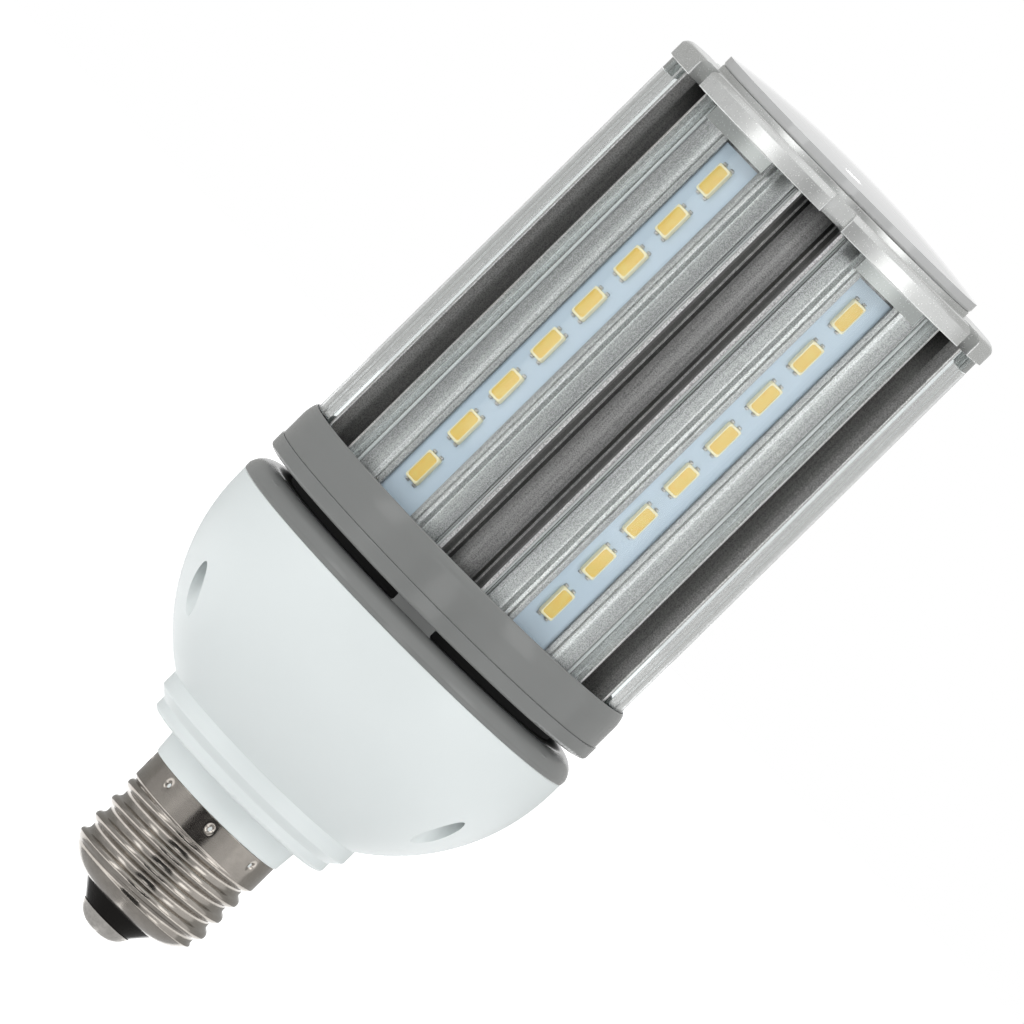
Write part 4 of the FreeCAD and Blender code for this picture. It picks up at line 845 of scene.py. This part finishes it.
levels = [ledStrip["firstLevel"] - ledStrip["pitch"] * index
          for index in range(ledStrip["count"])]
for strip, angle in enumerate(ledStrip["angles"], 1):
    cases = [caseRings(level) for level in levels]
    fillings = [phosphorRings(level) for level in levels]
    solder = [rings for level in levels for rings in solderRings(level)]
    makeOnStrip("ledPackages%d" % strip, cases, angle, "package_white",
                "led_packages_%d" % strip)
    makeOnStrip("ledPhosphors%d" % strip, fillings, angle, "phosphor_yellow",
                "led_phosphors_%d" % strip)
    makeOnStrip("ledSolder%d" % strip, solder, angle, "contact_metal", None)
print("LEDs made on", len(ledStrip["angles"]), "strips")


studio = {  # metres and degrees
    "floorDrop": 0.25,
    "floorSize": 12.0,
    "floorTone": (0.92, 0.92, 0.92, 1.0),
    "floorGlow": 0.9,
    "worldLight": 0.55,
    "white": (1.0, 1.0, 1.0, 1.0),
    "lightCentre": 0.09,
    "aim": (-0.0007, 0.0, 0.09406),
    "distance": 2.0,
    "elevation": 3.3,
    "roll": 45.4,
    "fieldWidth": 0.16254,
    "sensorWidth": 36.0,
    "nearest": 0.1,
    "farthest": 100.0,
}


def whiteToTheEye(tree, plain, at):  # camera, mirror and glass rays see plain white
    rays = addNode(tree, "ShaderNodeLightPath", (at[0] - 600, at[1] + 300))
    first = addNode(tree, "ShaderNodeMath", (at[0] - 400, at[1] + 300), operation="MAXIMUM")
    second = addNode(tree, "ShaderNodeMath", (at[0] - 200, at[1] + 300), operation="MAXIMUM")
    tree.links.new(rays.outputs["Is Camera Ray"], first.inputs[0])
    tree.links.new(rays.outputs["Is Glossy Ray"], first.inputs[1])
    tree.links.new(first.outputs[0], second.inputs[0])
    tree.links.new(rays.outputs["Is Transmission Ray"], second.inputs[1])
    mix = addNode(tree, "ShaderNodeMixShader", at)
    tree.links.new(second.outputs[0], mix.inputs["Fac"])
    tree.links.new(plain, mix.inputs[1])
    return mix


def makeWorld():
    world = bpy.data.worlds.new("studio")
    bpy.context.scene.world = world
    world.use_nodes = True
    tree = world.node_tree
    tree.nodes.clear()
    soft = addNode(tree, "ShaderNodeBackground", (-300, 0))
    fill(soft, Color=studio["white"], Strength=studio["worldLight"])
    white = addNode(tree, "ShaderNodeBackground", (-300, -200))
    fill(white, Color=studio["white"], Strength=1.0)
    mix = whiteToTheEye(tree, soft.outputs[0], (0, 0))
    tree.links.new(white.outputs[0], mix.inputs[2])
    leave = addNode(tree, "ShaderNodeOutputWorld", (250, 0))
    tree.links.new(mix.outputs[0], leave.inputs["Surface"])


def makeFloor():
    half = studio["floorSize"] / 2.0
    height = -studio["floorDrop"]
    mesh = bpy.data.meshes.new("floor")
    corners = [(-half, -half, height), (half, -half, height), (half, half, height),
               (-half, half, height)]
    mesh.from_pydata(corners, [], [(0, 1, 2, 3)])
    floor = bpy.data.objects.new("floor", mesh)
    bpy.context.scene.collection.objects.link(floor)
    surface = newSurface("floor")
    tree = surface.node_tree
    matt = addNode(tree, "ShaderNodeBsdfDiffuse", (-300, 0))
    fill(matt, Color=studio["floorTone"])
    glow = addNode(tree, "ShaderNodeEmission", (-500, -200))
    fill(glow, Color=studio["white"], Strength=studio["floorGlow"])
    both = addNode(tree, "ShaderNodeAddShader", (-250, -200))
    tree.links.new(matt.outputs[0], both.inputs[0])
    tree.links.new(glow.outputs[0], both.inputs[1])
    mix = whiteToTheEye(tree, matt.outputs[0], (0, 0))
    tree.links.new(both.outputs[0], mix.inputs[2])
    leave = addNode(tree, "ShaderNodeOutputMaterial", (250, 0))
    tree.links.new(mix.outputs[0], leave.inputs["Surface"])
    mesh.materials.append(surface)


def aroundLamp(azimuth, elevation, distance):
    turn = math.radians(azimuth)
    rise = math.radians(elevation)
    return Vector((
        distance * math.sin(turn) * math.cos(rise),
        -distance * math.cos(turn) * math.cos(rise),
        studio["lightCentre"] + distance * math.sin(rise),
    ))


softboxes = {  # azimuth, elevation, distance, width, height, power
    "leftSoftbox": (-62.0, 12.0, 1.4, 0.9, 1.2, 6.5),
    "rightSoftbox": (62.0, 12.0, 1.4, 0.9, 1.2, 6.0),
    "frontSoftbox": (2.0, 30.0, 1.6, 0.25, 0.5, 3.0),
    "topSoftbox": (0.0, 86.0, 1.4, 1.0, 1.0, 6.5),
}


def softbox(name, azimuth, elevation, distance, width, height, power):
    light = bpy.data.lights.new(name, "AREA")
    light.shape = "RECTANGLE"
    light.size = width
    light.size_y = height
    light.energy = power
    lamp = bpy.data.objects.new(name, light)
    bpy.context.scene.collection.objects.link(lamp)
    lamp.location = aroundLamp(azimuth, elevation, distance)
    aim = Vector((0.0, 0.0, studio["lightCentre"])) - lamp.location
    lamp.rotation_euler = aim.to_track_quat("-Z", "Y").to_euler()
    lamp.visible_glossy = False  # what the gloss shows comes from the cards
    lamp.visible_transmission = False


cards = {  # azimuths, elevations, distance, tone, strength
    "frontCard": ((-18.0, 22.0), (-13.0, 25.0), 1.3, (0.03, 0.03, 0.03), 1.0),
    "frontLow": ((-16.0, 20.0), (-34.0, -9.0), 0.4, (0.03, 0.03, 0.03), 1.0),
    "frontStrip": ((-4.0, 6.5), (-3.2, 11.0), 1.25, (1.0, 1.0, 1.0), 1.75),
    "frontFoot": ((-7.0, 9.0), (-8.0, -3.2), 1.25, (1.0, 1.0, 1.0), 2.0),
    "frontBar": ((-17.0, 19.0), (12.0, 14.0), 1.25, (1.0, 1.0, 1.0), 3.0),
    "lowBar": ((-17.0, 19.0), (-40.0, -34.0), 0.4, (1.0, 1.0, 1.0), 4.0),
    "lowCard": ((-178.0, 178.0), (-89.0, -40.0), 0.28, (0.6, 0.6, 0.6), 1.0),
    "leftMiddle": ((-40.0, -18.0), (-13.0, 30.0), 1.3, (0.6, 0.6, 0.6), 1.0),
    "rightMiddle": ((22.0, 39.0), (-13.0, 30.0), 1.3, (0.6, 0.6, 0.6), 1.0),
    "leftBright": ((-56.0, -40.0), (-2.7, 35.0), 1.3, (1.0, 1.0, 1.0), 2.6),
    "rightBright": ((39.0, 60.0), (-2.7, 35.0), 1.3, (1.0, 1.0, 1.0), 2.7),
    "leftUnder": ((-56.0, -40.0), (-13.0, -2.7), 1.3, (0.7, 0.7, 0.7), 1.0),
    "rightUnder": ((39.0, 60.0), (-13.0, -2.7), 1.3, (0.7, 0.7, 0.7), 1.0),
    "leftSide": ((-108.0, -56.0), (-13.0, 35.0), 1.3, (0.6, 0.6, 0.6), 1.0),
    "rightSide": ((60.0, 108.0), (-13.0, 35.0), 1.3, (0.95, 0.95, 0.95), 1.0),
    "leftCard": ((-170.0, -108.0), (-13.0, 50.0), 1.3, (0.42, 0.42, 0.41), 1.0),
    "rightCard": ((108.0, 170.0), (-13.0, 50.0), 1.3, (0.5, 0.5, 0.49), 1.0),
    "backCard": ((170.0, 190.0), (8.0, 50.0), 1.3, (0.95, 0.95, 0.95), 1.0),
    "crownSpark": ((179.85, 180.3), (17.38, 17.62), 1.2, (1.0, 1.0, 1.0), 9.0),
}


def card(name, azimuths, elevations, distance, tone, strength):  # seen only in gloss and glass
    columns = 12
    rows = 4
    points = []
    for row in range(rows + 1):
        elevation = elevations[0] + (elevations[1] - elevations[0]) * row / rows
        for column in range(columns + 1):
            azimuth = azimuths[0] + (azimuths[1] - azimuths[0]) * column / columns
            points.append(aroundLamp(azimuth, elevation, distance))
    faces = []
    for row in range(rows):
        for column in range(columns):
            corner = row * (columns + 1) + column
            faces.append((corner, corner + 1, corner + columns + 2, corner + columns + 1))
    mesh = bpy.data.meshes.new(name)
    mesh.from_pydata(points, [], faces)
    board = bpy.data.objects.new(name, mesh)
    bpy.context.scene.collection.objects.link(board)
    surface = newSurface(name)
    tree = surface.node_tree
    glow = addNode(tree, "ShaderNodeEmission", (-200, 0))
    fill(glow, Color=(*tone, 1.0), Strength=strength)
    leave = addNode(tree, "ShaderNodeOutputMaterial", (100, 0))
    tree.links.new(glow.outputs[0], leave.inputs["Surface"])
    mesh.materials.append(surface)
    board.visible_camera = False
    board.visible_diffuse = False
    board.visible_shadow = False


makeWorld()
makeFloor()
for name, values in softboxes.items():
    softbox(name, *values)
for name, values in cards.items():
    card(name, *values)
print("studio made")


def makeCamera():
    lens = bpy.data.cameras.new("camera")
    lens.sensor_width = studio["sensorWidth"]
    lens.lens = studio["sensorWidth"] * studio["distance"] / studio["fieldWidth"]
    lens.clip_start = studio["nearest"]
    lens.clip_end = studio["farthest"]
    camera = bpy.data.objects.new("camera", lens)
    bpy.context.scene.collection.objects.link(camera)
    rise = math.radians(studio["elevation"])
    back = Vector((0.0, -math.cos(rise), math.sin(rise)))
    camera.location = Vector(studio["aim"]) + back * studio["distance"]
    upright = (-back).to_track_quat("-Z", "Y").to_matrix().to_4x4()
    turn = upright @ Matrix.Rotation(math.radians(studio["roll"]), 4, "Z")
    camera.rotation_euler = turn.to_euler()
    bpy.context.scene.camera = camera


makeCamera()
bpy.context.scene.view_settings.view_transform = "Standard"

print("camera and sizes done")
